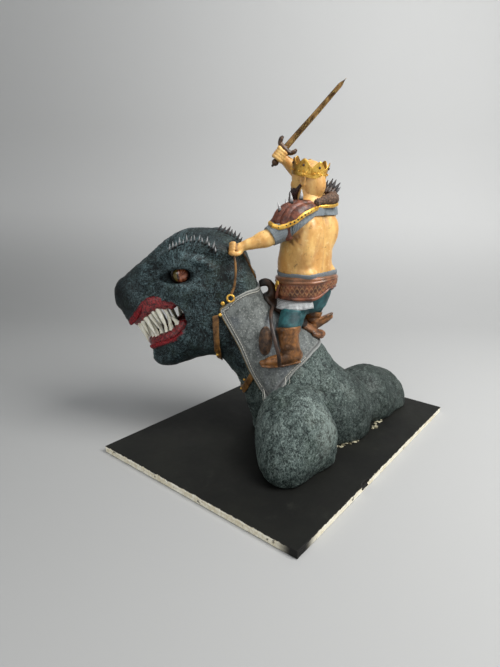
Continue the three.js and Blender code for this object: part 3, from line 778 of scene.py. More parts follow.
def makeTeeth(name, path, count, lean, paint):
    row = wholeRow(path)
    forms, shares = [], []
    for i, at in enumerate(evenly(row, count)):
        side = at[1] / 47
        long = mouth["toothLong"] * (0.94 + 0.13 * math.sin(2.3 * i + len(name)))
        wide = mouth["toothWide"] * (0.98 + 0.16 * math.sin(3.7 * i + 1))
        back = step(176, 160, at[0])
        ahead = lean[0] - 0.12 * math.sin(5.1 * i) - 0.25 * back
        way = (ahead, -0.10 * side + 0.05 * math.sin(4 * i), lean[1])
        out = unit((0.45 * (1 - abs(side)), 1.0 * np.sign(side + 0.001) * min(1, 0.2 + abs(side)), 0.05))
        if at[0] < 166 and lean[1] < 0:
            continue
        if at[0] < 153:
            way = (0.85, way[1], 0.75)
        root = at - unit(way) * 1.5 + out * (1.4 if lean[1] < 0 else -0.4)
        some = tooth(root, way, long * (1 - 0.18 * back), wide, i + len(name), out)
        forms.append(some)
        shares.append((some[0] - root) @ unit(way) / long)
    piece = makePiece(name, together(*forms), paint)
    mark(piece, "toTip", np.concatenate(shares))


def gumPaint():
    paint = Paint("wetRedGum", Roughness=0.4, Coat_Weight=0.25, Coat_Roughness=0.25)
    where = paint.place()
    lump = paint.noise(where, 420, 3, 0.6)
    shade = paint.mix(paint.ramp(lump, 0.38, 0.62), tone(58, 10, 14), tone(150, 38, 42))
    spot = paint.ramp(paint.noise(where, 900, 2), 0.6, 0.74)
    paint.feed("Base Color", paint.mix(spot * 0.6, shade, tone(196, 92, 92)))
    paint.feed("Roughness", 0.3 + lump * 0.25)
    paint.bump(lump, 0.8, 0.0011)
    return paint.material


def toothPaint():
    paint = Paint("ivoryTooth", Roughness=0.35, Coat_Weight=0.2, Coat_Roughness=0.2)
    where = paint.place()
    toTip = paint.layer("toTip")
    streak = paint.noise(paint.stretch(where, 1, 1, 0.25), 520, 3)
    ivory = paint.mix(paint.ramp(streak, 0.35, 0.7), tone(240, 236, 214), tone(255, 254, 244))
    root = paint.ramp(toTip, 0.34, 0.05)
    stained = paint.mix(root * 0.35, ivory, tone(206, 180, 122))
    paint.feed("Base Color", paint.mix(paint.ramp(streak, 0.68, 0.82) * 0.25, stained, tone(120, 104, 74)))
    paint.feed("Roughness", 0.28 + streak * 0.2)
    paint.bump(streak, 0.35, 0.0006)
    return paint.material


gumFinish, toothFinish = gumPaint(), toothPaint()
for jaw in ("upper", "lower"):
    row = mouth[jaw], mouth[jaw + "Teeth"], mouth[jaw + "Lean"]
    makeGum(jaw + "Gum", *row, gumFinish, jaw + "_gum_and_teeth")
    makeTeeth(jaw + "Teeth", *row, toothFinish)
print("mouth ready")


def eyePaint():
    paint = Paint("amberEye", Roughness=0.12, Coat_Weight=0.8, Coat_Roughness=0.04)
    around, outward = paint.layer("around"), paint.layer("fromPupil")
    rays = paint.noise(paint.layer("rays", "Vector"), 3.2, 3, 0.6)
    amber = paint.mix(paint.ramp(rays, 0.35, 0.7), tone(88, 36, 16), tone(176, 104, 70))
    # painted shade: the iris is darker olive on the side away from the light, amber on the lit side
    shadedIris = paint.mix(rays, tone(60, 48, 14), tone(128, 108, 44))
    iris = paint.mix(paint.ramp(around, -0.08, 0.02), shadedIris, amber)
    rim = paint.mix(paint.ramp(outward, 0.5, 0.72), iris, tone(26, 14, 9))
    slit = paint.layer("slit")
    paint.feed("Base Color", paint.mix(paint.ramp(slit, 0.55, 0.8), tone(5, 4, 4), rim))
    paint.feed("Roughness", 0.1 + rays * 0.12)
    paint.bump(rays, 0.2, 0.0005)
    return paint.material


def makeEye(name, side, finish, stands):
    x, y, z = dragon["eye"]
    size = dragon["eyeSize"] - 0.2
    centre = np.array([x, side * y, z])
    points, faces = ball(centre, (size, size, size), 0, 28)
    look = unit((-0.06, side * 1.0, 0.02))
    flat = points - centre
    along = flat @ look / size
    # the clear front stands a little proud of the ball
    points = centre + flat * (1 + 0.012 * step(0.72, 0.92, along))[:, None]
    piece = makePiece(name, (points, faces), finish, [stands])
    right, up = unit(np.cross((0, 0, 1), look)) * side, np.array([0, 0, 1.0])
    a, b = flat @ right / size, flat @ up / size
    reach = np.hypot(a, b)
    mark(piece, "around", a + 0.2)
    mark(piece, "fromPupil", reach)
    mark(piece, "rays", np.column_stack([a / (reach + 0.02), b / (reach + 0.02), reach * 0.6]))
    mark(piece, "slit", np.abs(a + 0.2 + 0.12 * b) * 9 + np.abs(b) * 0.9)


eyeFinish = eyePaint()
makeEye("leftEye", 1, eyeFinish, "left_eye")
makeEye("rightEye", -1, eyeFinish, "right_eye")


spikes = {
    "brow": [
        (164, 46, 247.5), (148, 49, 256), (136, 50, 259), (124, 50, 258), (113, 50, 252), (104, 50, 245)],
    "browCount": 14, "browLong": 10.5,
    "crest": [(108, 14, 274), (96, 18, 272), (84, 17, 265), (77, 14, 257)], "crestCount": 7,
}


def skinPoint(points, way, reach=14):
    # moves each point along the way until it meets the dragon's skin
    points, way = np.asarray(points, float), np.asarray(way, float)
    tries = np.linspace(-reach, reach, 57)
    found = points.copy()
    for i, at in enumerate(points):
        level = dragonClay.at(at + np.outer(tries, way[i]))
        inside = np.nonzero(level < 0)[0]
        if len(inside):
            found[i] = at + way[i] * tries[inside[-1]]
    return found


def spikePaint(name, tip, metal):
    paint = Paint(name, Metallic=metal, Roughness=0.3)
    where = paint.place()
    scuff = paint.noise(where, 900, 2)
    shade = paint.mix(paint.ramp(paint.layer("toTip"), 0.05, 0.6), tone(14, 14, 15), tip)
    paint.feed("Base Color", paint.mix(paint.ramp(scuff, 0.52, 0.68) * 0.6, shade, tone(18, 18, 20)))
    paint.feed("Roughness", 0.25 + scuff * 0.3)
    paint.bump(scuff, 0.3, 0.0004)
    return paint.material


def makeSpikes(name, roots, ways, longs, radius, finish):
    forms, shares = [], []
    for i, (root, way, long) in enumerate(zip(roots, ways, longs)):
        way = unit(way)
        thick = radius * (0.9 + 0.2 * math.sin(7 * i))
        some = spike(root - way * 2, root + way * long, thick, 7, (-0.05 * long, 0, 0))
        forms.append(some)
        shares.append((some[0] - root) @ way / long)
    piece = makePiece(name, together(*forms), finish)
    mark(piece, "toTip", np.concatenate(shares))


spikeFinish = spikePaint("silverBlackSpike", tone(214, 214, 216), 0.35)
blackHorn = spikePaint("blackHorn", tone(70, 66, 68), 0.0)
for side, name in ((1, "leftBrowSpikes"), (-1, "rightBrowSpikes")):
    roots = evenly(spikes["brow"], spikes["browCount"]) * (1, side, 1)
    ways = [(-0.18 + 0.16 * math.sin(3 * i), side * 0.5, 1) for i in range(len(roots))]
    roots = skinPoint(roots, [unit((0, side * 0.7, 0.7))] * len(roots))
    longs = [spikes["browLong"] * (0.85 + 0.25 * math.sin(2.7 * i)) for i in range(len(roots))]
    makeSpikes(name, roots, ways, longs, 1.45, spikeFinish)
crestRow = evenly(spikes["crest"], spikes["crestCount"])
for side, name in ((1, "leftCrestSpikes"), (-1, "rightCrestSpikes")):
    roots = skinPoint(crestRow * (1, side, 1), [unit((-0.3, 0, 1))] * len(crestRow))
    ways = []
    for i in range(len(roots)):
        ways.append((-0.5 + 0.3 * math.sin(5 * i), side * (0.15 + 0.2 * math.sin(3 * i)), 1))
    longs = [6.6 + 1.6 * math.sin(4 * i) for i in range(len(roots))]
    makeSpikes(name, roots, ways, longs, 2.3, blackHorn)
print("eyes and spikes ready")


cloth = {
    "outline": [
        (36, 203), (46, 203.5), (56, 204), (69, 203.5), (82, 197), (91, 188.5), (99, 180), (87, 154),
        (74, 128), (61, 98), (47, 74), (35, 58), (21, 80), (2, 103), (-22, 122), (-46, 132), (-70, 220)],
    "thick": 3.0, "border": 6.5,
    "throat": [(101, 176), (109, 174), (105, 92), (98, 92)],
    "girth": [(56, 87), (61, 95), (78, 52), (71, 46)],
}


def worn(outline, low, high, thick, cell, curl=0.0, sag=0.0):
    # a skin of that thickness on the dragon, inside a side-on outline
    clay = Clay(low, high, cell)
    x, _, z = np.meshgrid(*clay.axes(), indexing="ij")
    flat = clay.places()
    body = dragonClay.at(flat).reshape(x.shape)
    edge = insideBy(outline, x[:, 0, :], z[:, 0, :])[:, None, :]
    lift = sag * (grain(flat, 26, 21).reshape(x.shape) + 0.4) if sag else 0
    roll = curl * step(4.0, 0.5, edge)
    outer = body - (thick + lift + roll)
    shell = np.maximum(outer, 0.35 - body)
    # the edge is rounded over
    gone = np.maximum(shell, -edge)
    both = (shell > -1.2) & (edge < 1.2)
    gone = np.where(both, np.hypot(np.maximum(shell + 1.2, 0), np.maximum(1.2 - edge, 0)) - 1.2, gone)
    clay.field = gone.astype(np.float32)
    return clay


def clothPaint():
    paint = Paint("mottledGreyCloth", Roughness=0.72)
    where = paint.place()
    mottle = paint.noise(where, 110, 5, 0.7)
    pit = paint.noise(where, 420, 3, 0.6)
    vein = paint.noise(where, 26, 3)
    shade = paint.mix(paint.ramp(mottle, 0.36, 0.66), tone(82, 87, 85), tone(122, 127, 125))
    cool = paint.mix(paint.ramp(vein, 0.5, 0.7) * 0.4, shade, tone(116, 122, 132))
    speck = paint.mix(paint.ramp(pit, 0.56, 0.68) * 0.5, cool, tone(178, 180, 178))
    fade = paint.mix(paint.ramp(pit, 0.44, 0.32) * 0.6, speck, tone(58, 62, 62))
    border = paint.layer("border")
    edged = paint.mix(border * 0.6, fade, tone(160, 162, 160))
    paint.feed("Base Color", paint.mix(paint.layer("seam") * 0.8, edged, tone(22, 24, 24)))
    paint.feed("Roughness", 0.55 + mottle * 0.3)
    paint.bump(pit + mottle * 0.6, 0.6, 0.0009)
    return paint.material


def strapPaint(name, dark, light, roughness=0.5):
    paint = Paint(name, Roughness=roughness, Coat_Weight=0.08)
    where = paint.place()
    grainy = paint.noise(where, 700, 3)
    rub = paint.noise(where, 90, 4, 0.65)
    shade = paint.mix(paint.ramp(rub, 0.38, 0.68), dark, light)
    worn = paint.mix(paint.ramp(grainy, 0.55, 0.72) * 0.35, shade, scaled(light, 1.6))
    paint.feed("Base Color", paint.mix(paint.ramp(grainy, 0.42, 0.3) * 0.5, worn, scaled(dark, 0.4)))
    paint.feed("Roughness", roughness - 0.1 + grainy * 0.25)
    paint.bump(grainy + rub * 0.8, 0.5, 0.0007)
    return paint.material


def threadPaint(name, colour):
    paint = Paint(name, Roughness=0.7)
    twist = paint.noise(paint.place(), 1600, 2)
    paint.feed("Base Color", paint.mix(twist, scaled(colour, 0.6), colour))
    paint.bump(twist, 0.4, 0.0003)
    return paint.material


strapFinish = strapPaint("ochreStrap", tone(78, 50, 20), tone(150, 108, 56), 0.45)
darkLeather = strapPaint("darkSaddleLeather", tone(24, 15, 10), tone(70, 46, 30), 0.42)
paleThread = threadPaint("paleThread", tone(196, 196, 186))
darkThread = threadPaint("darkThread", tone(30, 30, 30))
tanPiping = threadPaint("tanPiping", tone(150, 128, 88))


clothFinish = clothPaint()


def makeCloth():
    outline = cloth["outline"]
    clay = worn(outline, (-62, -66, 48), (110, 66, 222), cloth["thick"], 1.45, 0.35, 0.25)
    piece, points = cast(clay, "saddleCloth", clothFinish, ["saddle_cloth"])
    edge = insideBy(outline, points[:, 0], points[:, 2])
    groove = np.exp(-((edge - cloth["border"]) / 0.9) ** 2) + np.exp(-((edge - 2.4) / 0.7) ** 2)
    amount = grain(points, 9, 31) * 0.3 + grain(points, 3.2, 32) * 0.14 - groove * 0.5
    relief(piece, points, amount)
    mark(piece, "border", step(cloth["border"] + 0.6, cloth["border"] - 0.4, edge))
    mark(piece, "seam", np.exp(-((edge - 4.4) / 1.5) ** 2))


def onCloth(line, side, lift):
    # places of a side-on line laid on the cloth's outer face
    line = np.asarray(line, float)
    start = np.column_stack([line[:, 0], np.full(len(line), 75.0 * side), line[:, 1]])
    tries = np.linspace(0, 75, 301)
    found = start.copy()
    good = np.zeros(len(line), bool)
    for i, at in enumerate(start):
        track = at - np.outer(tries, (0, side, 0))
        level = dragonClay.at(track)
        inside = np.nonzero(level < lift)[0]
        if len(inside):
            found[i], good[i] = track[inside[0]], True
    return found[good]


def inset(outline, depth):
    # the outline moved inwards
    outline = np.asarray(outline, float)
    ahead = np.gradient(outline, axis=0)
    way = np.column_stack([-ahead[:, 1], ahead[:, 0]]) / np.linalg.norm(ahead, axis=1)[:, None]
    trial = outline + way * depth
    sign = 1 if insideBy(cloth["outline"], trial[:, 0], trial[:, 1]).mean() > 0 else -1
    return outline + way * depth * sign


def makeStitches(name, line, side, lift, long, gap, radius):
    path = onCloth(line, side, cloth["thick"] + lift)
    if len(path) < 4:
        return
    run = np.concatenate([[0], np.cumsum(np.linalg.norm(np.diff(path, axis=0), axis=1))])

    def at(distance):
        return np.array([np.interp(distance, run, path[:, k]) for k in range(3)])

    forms = []
    for start in np.arange(1, run[-1] - long, long + gap):
        a, middle, b = (at(start + d) for d in (0, long / 2, long))
        forms.append(tube([a, middle + (0, side * 0.35, 0), b], radius, 6, 4))
    if forms:
        makePiece(name, together(*forms), paleThread)


makeCloth()
fronts = curve(cloth["outline"][5:11], 110)
trails = curve(cloth["outline"][10:15], 90)[:84]
tops = curve(cloth["outline"][1:6], 60)
for side, which in ((1, "left"), (-1, "right")):
    for line, part in ((fronts, "Front"), (trails, "Trail"), (tops, "Top")):
        makeStitches(which + part + "Stitches", inset(line, 4.3), side, 0.45, 2.4, 1.5, 0.62)
        makeStitches(which + part + "EdgeStitches", inset(line, 1.3), side, 0.7, 1.8, 1.0, 0.34)
    piping = onCloth(inset(fronts, 0.3), side, cloth["thick"] * 0.55)
    makePiece(which + "FrontPiping", tube(piping, 1.0, 8, 90), tanPiping)
for band, low, high in (("throat", (92, -62, 84), (118, 62, 182)), ("girth", (50, -60, 40), (86, 60, 100))):
    strap = worn(cloth[band], low, high, 2.5, 0.9)
    piece, points = cast(strap, band + "Strap", strapFinish, [band + "_strap"])
    relief(piece, points, grain(points, 4, 41) * 0.18)
print("cloth and straps ready")


rider = {
    "turn": math.radians(-42), "seat": (-10, 0),
    # forward, left, up, deep, half width
    "trunk": [
        (0, 0, 182, 27, 33), (0.5, -1, 205, 31, 37), (2.5, 0, 235, 32.5, 38), (1.5, 0, 262, 31, 38.5),
        (0, 0, 286, 27, 39.5), (-2, 0, 303, 20, 33), (1, 0, 316, 15, 17), (5, 0, 330, 15, 15)],
    # belly, flanks, chest and shoulder blades: centre, radii, blend
    "soft": [
        ((12, 0, 232), (25, 29, 25), 9),
        ((-13, 24, 224), (18, 11, 8), 8), ((-13, -22, 224), (18, 9, 8), 8),
        ((18, 15, 274), (14, 16, 12), 7), ((18, -15, 274), (14, 16, 12), 7),
        ((-20, 21, 272), (9, 12, 19), 8), ((-20, -21, 276), (9, 12, 19), 8),
        ((-13, 28, 252), (14, 10, 20), 9)],
    "spine": [
        (-30.5, 0, 216, 2.2), (-30.5, 0, 240, 2.4), (-30, 0, 262, 2.4), (-27, 0, 284, 2.2), (-20, 0, 300, 2)],
    # folds of skin on the left side
    "sideFolds": [
        [(-12, 35.5, 262, 0.5), (-2, 37.5, 274, 0.7)], [(-14, 34, 267, 0.5), (-6, 36.5, 275, 0.6)],
        [(-8, 36, 257, 0.4), (2, 38, 268, 0.5)]],
    # shoulder and elbow of each arm
    "joints": [
        ((12, 27, 290), (17, 15, 15), 0.4, 6), ((48, 40, 266.5), (12, 8.8, 9), 0.3, 5),
        ((-33, -30, 301), (14, 14, 15), 0.4, 6), ((-12, -42, 333), (12, 10.5, 11), 0.3, 5)],
    # x, y, z, radius
    "leftArm": [
        (12, 25, 291, 15), (26, 32, 279, 12.5), (39, 37, 270, 10.5), (52, 41, 264.5, 8.8),
        (68, 45, 260, 6.8)],
    "rightArm": [
        (-34, -26, 296, 14), (-26, -40, 316, 12), (-8, -42, 337, 10.5), (9, -36, 352, 9),
        (23, -28, 363, 6.4)],
    "leftLeg": [(0, 8, 184, 18), (6, 25, 174, 16), (12, 42, 158, 14.5)],
    "rightLeg": [(-20, -12, 186, 16), (-27, -22, 176, 14), (-26, -25, 164, 10)],
    "leftHand": (82, 47, 254.5), "rightHand": (29.5, -26, 368),
}


def fromRider(forward, left, up):
    c, s = math.cos(rider["turn"]), math.sin(rider["turn"])
    return (rider["seat"][0] + forward * c - left * s, rider["seat"][1] + forward * s + left * c, up)


def onRider(rows):
    return [(*fromRider(*row[:3]), *row[3:]) for row in rows]


def fist(centre, axis, palmWay, size=1.0):
    # four fingers and a thumb closed round an axis
    centre, axis = np.asarray(centre, float), unit(axis)
    palmWay = unit(np.asarray(palmWay, float) - axis * np.dot(palmWay, axis))
    side = np.cross(axis, palmWay)
    forms = [ball(centre + palmWay * 3.6 * size, np.array((5.6, 5.6, 6.8)) * size, 0, 12)]
    for k in range(4):
        middle = centre + axis * (k - 1.5) * 3.3 * size
        row = []
        for degrees in (-70, -115, -165, 150, 112):
            a = math.radians(degrees)
            knuckle = middle + (palmWay * math.cos(a) + side * math.sin(a)) * 5.6 * size
            row.append((*knuckle, (2.5 - 0.1 * k) * size))
        forms.append(loft(row, 10, 12, axis))
    thumb = []
    for degrees, up in ((35, 5.0), (80, 6.6), (120, 6.4), (150, 5.4)):
        a = math.radians(degrees)
        way = palmWay * math.cos(a) + side * math.sin(a)
        thumb.append((*(centre + axis * up * size + way * 5.4 * size), 2.7 * size))
    forms.append(loft(thumb, 10, 10, axis))
    return forms


def sculptRider():
    clay = Clay((-72, -62, 178), (96, 66, 382), 1.0)
    across = (-math.sin(rider["turn"]), math.cos(rider["turn"]), 0)
    clay.add(loft(onRider(rider["trunk"]), 36, 36, across, ends=(0.2, 0.6)))
    for centre, radii, blend in rider["soft"]:
        clay.add(ball(fromRider(*centre), radii, rider["turn"], 16), blend)
    clay.cut(loft(onRider(rider["spine"]), 12, 24), 8)
    for fold in rider["sideFolds"]:
        clay.cut(loft(onRider(fold), 8, 12), 3)
    for arm in ("leftArm", "rightArm"):
        clay.add(loft(rider[arm], 20, 20, (0.1, 1, 0.1)), 7)
    for centre, radii, turn, blend in rider["joints"]:
        clay.add(ball(centre, radii, turn, 14), blend)
    clay.soften(2)
    clay.add(ball((75.5, 46, 257), (6.4, 5.4, 5.6), 0.3, 16), 4)
    for form in fist(rider["leftHand"], (0.05, 0.35, -1), (-1, -0.15, 0.3), 1.08):
        clay.add(form, 0.9)
    for form in fist(rider["rightHand"], (-0.57, 0, 0.82), (-0.2, -1.0, -0.35), 1.08):
        clay.add(form, 0.7)
    return clay


def skinPaint():
    paint = Paint("goldenSkin", Roughness=0.4, Coat_Weight=0.2, Coat_Roughness=0.25)
    where = paint.place()
    toneShift = paint.noise(paint.stretch(where, 1, 1, 0.45), 70, 4, 0.6)
    stain = paint.noise(where, 150, 4, 0.65)
    fine = paint.noise(where, 900, 2)
    shade = paint.mix(paint.ramp(toneShift, 0.36, 0.68), tone(214, 158, 88), tone(240, 196, 120))
    mottled = paint.mix(paint.ramp(stain, 0.54, 0.72) * 0.55, shade, tone(254, 226, 166))
    dirty = paint.mix(paint.ramp(stain, 0.42, 0.28) * 0.6, mottled, tone(124, 78, 44))
    paint.feed("Base Color", paint.mix(paint.layer("shadow") * 0.7, dirty, tone(104, 60, 34)))
    paint.feed("Roughness", 0.34 + stain * 0.2)
    paint.bump(fine * 0.5 + stain, 0.35, 0.0006)
    return paint.material


skinFinish = skinPaint()
riderClay = sculptRider()
riderSkin, points = cast(riderClay, "riderSkin", skinFinish, ["rider"])
# painted shade in the hollows and creases
deeper = riderClay.at(points + normalsOf(riderSkin) * 4.0)
crease = riderClay.at(points + normalsOf(riderSkin) * 1.5)
mark(riderSkin, "shadow", np.maximum(step(3.3, 1.6, deeper), step(1.3, 0.8, crease)))
relief(riderSkin, points, grain(points * (1, 1, 0.5), 6, 51) * 0.22 + grain(points, 2.6, 52) * 0.12)
print("rider sculpted")


# the rider's own face, to the usual proportions; forward, left, up, then radii
face = {
    "skull": [
        ((4, 0, 343), (20.5, 17, 18.5), 0), ((13, 0, 335), (12.5, 13.5, 16), 7),
        ((12, 0, 325), (12.5, 12, 8), 6), ((-5, 0, 331), (14.5, 13.5, 16), 6),
        ((19, 9, 331.5), (5.5, 5, 5), 4), ((19, -9, 331.5), (5.5, 5, 5), 4)],
    "neck": [(0, 0, 310, 14.5, 15.5), (1, 0, 320, 14, 14.5), (2, 0, 332, 14, 14)],
    "brow": [(21, -10, 342.5, 1.4), (24.6, -5, 344, 1.9), (25, 0, 343.2, 1.6), (24.6, 5, 344, 1.9),
             (21, 10, 342.5, 1.4)],
    "upperLid": [(22.3, 3.2, 339.4, 0.8), (24.9, 6.6, 340.8, 1.4), (22.5, 10.2, 339.6, 0.8)],
    "lowerLid": [(22.2, 3.6, 337.8, 0.4), (24.2, 6.8, 336.4, 0.7), (22.2, 10, 338, 0.4)],
    "earRim": [(3.4, 17.6, 333, 0.7), (4.2, 17.6, 338, 0.8), (2, 18.6, 343, 1.0), (-2.4, 19, 342.6, 1.1),
               (-3.8, 18.8, 337.5, 1.1), (-1.2, 18, 331.5, 1.3)],
    "nose": [(24, 0, 342, 1.7), (26.4, 0, 337, 2), (28.4, 0, 332.6, 2.5), (27, 0, 330.9, 2)],
    "upperLip": [(22.6, -6, 325.6, 0.6), (25, -2.6, 326.4, 1.1), (25.3, 0, 326, 1), (25, 2.6, 326.4, 1.1),
                 (22.6, 6, 325.6, 0.6)],
    "lowerLip": [(22.6, -5, 324.6, 0.6), (24.6, 0, 323.8, 1.5), (22.6, 5, 324.6, 0.6)],
    "eye": (21.6, 6.8, 338.6),
}


def sculptHead():
    clay = Clay((-40, -36, 308), (40, 36, 374), 0.6)
    turn = rider["turn"]

    def roll(part, side=1):
        return onRider([(ahead, left * side, *rest) for ahead, left, *rest in face[part]])

    for centre, radii, blend in face["skull"]:
        clay.add(ball(fromRider(*centre), radii, turn, 20), blend)
    clay.add(loft(roll("neck"), 28, 12, ends=(0, 0)), 5)
    clay.add(loft(roll("brow"), 12, 24), 2.5)
    for side in (1, -1):
        # the socket, the eyeball and the lids
        clay.cut(ball(fromRider(26.5, 7 * side, 338.6), (3.4, 3.6, 2.8), turn, 14), 2.6)
        clay.add(ball(fromRider(21.3, 6.8 * side, 338.6), (3.5, 3.5, 3.2), turn, 14), 0.3)
        clay.add(loft(roll("upperLid", side), 8, 12), 0.7)
        clay.add(loft(roll("lowerLid", side), 8, 12), 0.8)
        # the ear: a folded rim round a hollow, with a lobe
        clay.add(ball(fromRider(0.5, 16.3 * side, 336.5), (4.6, 2.3, 7.2), turn + 0.25 * side, 16), 1.6)
        clay.cut(ball(fromRider(1.6, 19.2 * side, 337), (2.5, 1.8, 4.4), turn, 12), 1.0)
        clay.add(loft(roll("earRim", side), 10, 24), 0.9)
        clay.add(ball(fromRider(26.2, 2.5 * side, 331.4), (2.3, 1.9, 1.8), turn, 12), 1.4)
    clay.add(loft(roll("nose"), 14, 16), 1.8)
    clay.add(loft(roll("upperLip"), 10, 24), 1)
    clay.add(loft(roll("lowerLip"), 10, 16), 1)
    clay.soften(1)
    return clay


headClay = sculptHead()
riderHead, points = cast(headClay, "riderHead", skinFinish)
mark(riderHead, "shadow", step(2.6, 0.9, headClay.at(points + normalsOf(riderHead) * 3.0)))
relief(riderHead, points, grain(points, 2.0, 53) * 0.08)


def makeEyes():
    paint = Paint("paintedRiderEye", Roughness=0.2, Coat_Weight=0.6)
    out = paint.layer("fromPupil")
    speck = paint.noise(paint.place(), 1500, 2)
    white = paint.mix(speck * 0.3, tone(206, 198, 180), tone(176, 160, 136))
    iris = paint.mix(paint.ramp(out, 0.5, 0.44), white, tone(70, 52, 34))
    paint.feed("Base Color", paint.mix(paint.ramp(out, 0.24, 0.19), iris, tone(10, 8, 8)))
    paint.bump(speck, 0.1, 0.0002)
    forms, reach = [], []
    ahead, left, up = face["eye"]
    for side in (1, -1):
        centre = np.array(fromRider(ahead, left * side, up))
        some = ball(centre, (3.5, 3.5, 3.3), rider["turn"], 14)
        look = unit(np.array(fromRider(1, 0, 0)) - fromRider(0, 0, 0))
        flat = (some[0] - centre) / 3.5
        reach.append(np.linalg.norm(flat - look * 0.98, axis=1))
        forms.append((some[0] + look * 0.25, some[1]))
    piece = makePiece("riderEyes", together(*forms), paint.material)
    mark(piece, "fromPupil", np.concatenate(reach))


makeEyes()


def beardPaint():
    paint = Paint("darkBeard", Roughness=0.45, Coat_Weight=0.15)
    where = paint.place()
    hair = paint.noise(paint.stretch(where, 1, 1, 0.22), 900, 3, 0.6)
    shade = paint.mix(paint.ramp(hair, 0.4, 0.66), tone(20, 12, 14), tone(92, 62, 60))
    cloud = paint.ramp(paint.noise(where, 120, 3), 0.5, 0.7)
    paint.feed("Base Color", paint.mix(cloud * 0.5, shade, tone(54, 30, 36)))
    paint.feed("Roughness", 0.35 + hair * 0.3)
    paint.bump(hair, 0.9, 0.0008)
    return paint.material


beardRows = {
    "cheek": [(3, 15.2, 334, 1.6), (9, 14.4, 326, 3), (16, 9.5, 320, 4.6), (20, 3, 317, 5)],
    "moustache": [(27.2, 1, 328.8, 1.2), (26, 5.4, 327, 1.8), (22.6, 9.4, 322, 1.5), (21, 10.8, 316, 0.6)],
    "strands": 11,
}


def sculptBeard():
    clay = Clay((-20, -46, 286), (46, 34, 352), 0.65)
    clay.add(ball(fromRider(21, 0, 319.5), (10, 12, 8.5), rider["turn"], 14))
    for side in (1, -1):
        for part, sides, steps, blend in (("cheek", 14, 18, 2.5), ("moustache", 12, 16, 1)):
            row = [(ahead, left * side, up, radius) for ahead, left, up, radius in beardRows[part]]
            clay.add(loft(onRider(row), sides, steps), blend)
    for k in range(beardRows["strands"]):
        share = (k - 5) / 5
        left, top = 12.5 * share, 319 + 6 * abs(share)
        front = 23.5 - 7 * share * share
        long = 19 - 6 * abs(share) + 3 * math.sin(4 * k)
        sway = 2.2 * math.sin(2.6 * k)
        strand = [
            (front, left, top, 3.4), (front + 3, left * 1.08 + sway * 0.3, top - long * 0.35, 3.1),
            (front + 3.4, left * 1.16 + sway, top - long * 0.7, 2.0),
            (front + 2.2, left * 1.2 + sway * 0.6, top - long, 0.6)]
        clay.add(loft(onRider(strand), 10, 16), 1.1)
    return clay


beard, points = cast(sculptBeard(), "beard", beardPaint())
relief(beard, points, (folds(points * (1, 1, 0.25), 1.9, 61) - 0.5) * 0.7)
print("head and beard ready")


def cloudyPaint(name, dark, light, scale, roughness=0.55, coat=0.0, bump=0.0007, fine=700, raised=None):
    # a brushed coat of paint: a light and a dark shade in soft clouds, rubbed pale on the high grain
    paint = Paint(name, Roughness=roughness, Coat_Weight=coat, Coat_Roughness=0.3)
    where = paint.place()
    cloud = paint.noise(where, scale, 4, 0.6)
    grainy = paint.noise(where, fine, 3, 0.6)
    shade = paint.mix(paint.ramp(cloud, 0.36, 0.66), dark, light)
    rubbed = paint.mix(paint.ramp(grainy, 0.56, 0.72) * 0.4, shade, scaled(light, 1.5, 0.02))
    toned = paint.mix(paint.ramp(grainy, 0.42, 0.28) * 0.45, rubbed, scaled(dark, 0.45))
    if raised:
        toned = paint.mix(paint.layer("raised") * (0.35 + grainy * 0.6), toned, raised)
    paint.feed("Base Color", toned)
    paint.feed("Roughness", roughness - 0.08 + grainy * 0.2)
    paint.bump(grainy + cloud * 0.5, 0.5, bump)
    return paint.material


trouserFinish = cloudyPaint("tealTrousers", tone(10, 52, 58), tone(44, 100, 104), 60, 0.6)
bootFinish = cloudyPaint("tanBootLeather", tone(74, 46, 20), tone(154, 102, 52), 75, 0.36, 0.2)


def clearOfCloth(clay):
    clay.keepIn(0.4 + cloth["thick"] - dragonClay.at(clay.places()))


skirt = {"at": (-0.6, -1.2, 188.4), "oval": 1.13, "tilt": 0.06, "from": -99, "to": 144}


def makeTrousers():
    clay = Clay((-56, -50, 150), (46, 64, 212), 1.1)
    for leg in ("leftLeg", "rightLeg"):
        clay.add(loft([(x, y, z, r + 0.4) for x, y, z, r in rider[leg]], 24, 16, (0.1, 1, 0.1)), 6)
    hips = onRider([(-1, -1, 184, 28, 32), (-1, -1, 196, 31.5, 36), (0, -1, 207, 31.6, 37.6)])
    c, w = math.cos(rider["turn"]), math.sin(rider["turn"])
    clay.add(loft(hips, 32, 10, (-w, c, 0), ends=(0.6, 0)), 6)
    # the thighs stay inside the mail skirt
    x, y, z = np.meshgrid(*clay.axes(), indexing="ij")
    x, y = x - fromRider(*skirt["at"])[0], y - fromRider(*skirt["at"])[1]
    reach = np.hypot(x * c + y * w, (y * c - x * w) / skirt["oval"]) - 33.5
    clay.keepIn(np.minimum(reach, (z - 179) * 0.8))
    # cloth folds behind the knee and down the thigh
    creases = (
        ((-4, 38, 176), (16, 46, 160)), ((-2, 42, 166), (20, 50, 156)), ((22, 26, 184), (22, 44, 160)))
    for start, end in creases:
        middle = (np.array(start) + end) / 2 + (2, 3, 0)
        clay.cut(loft([(*start, 0.8), (*middle, 1.5), (*end, 0.8)], 10, 12), 3.5)
    clay.soften(1)
    clearOfCloth(clay)
    piece, points = cast(clay, "trousers", trouserFinish)
    relief(piece, points, grain(points, 7, 71) * 0.45 + grain(points, 3, 72) * 0.15)


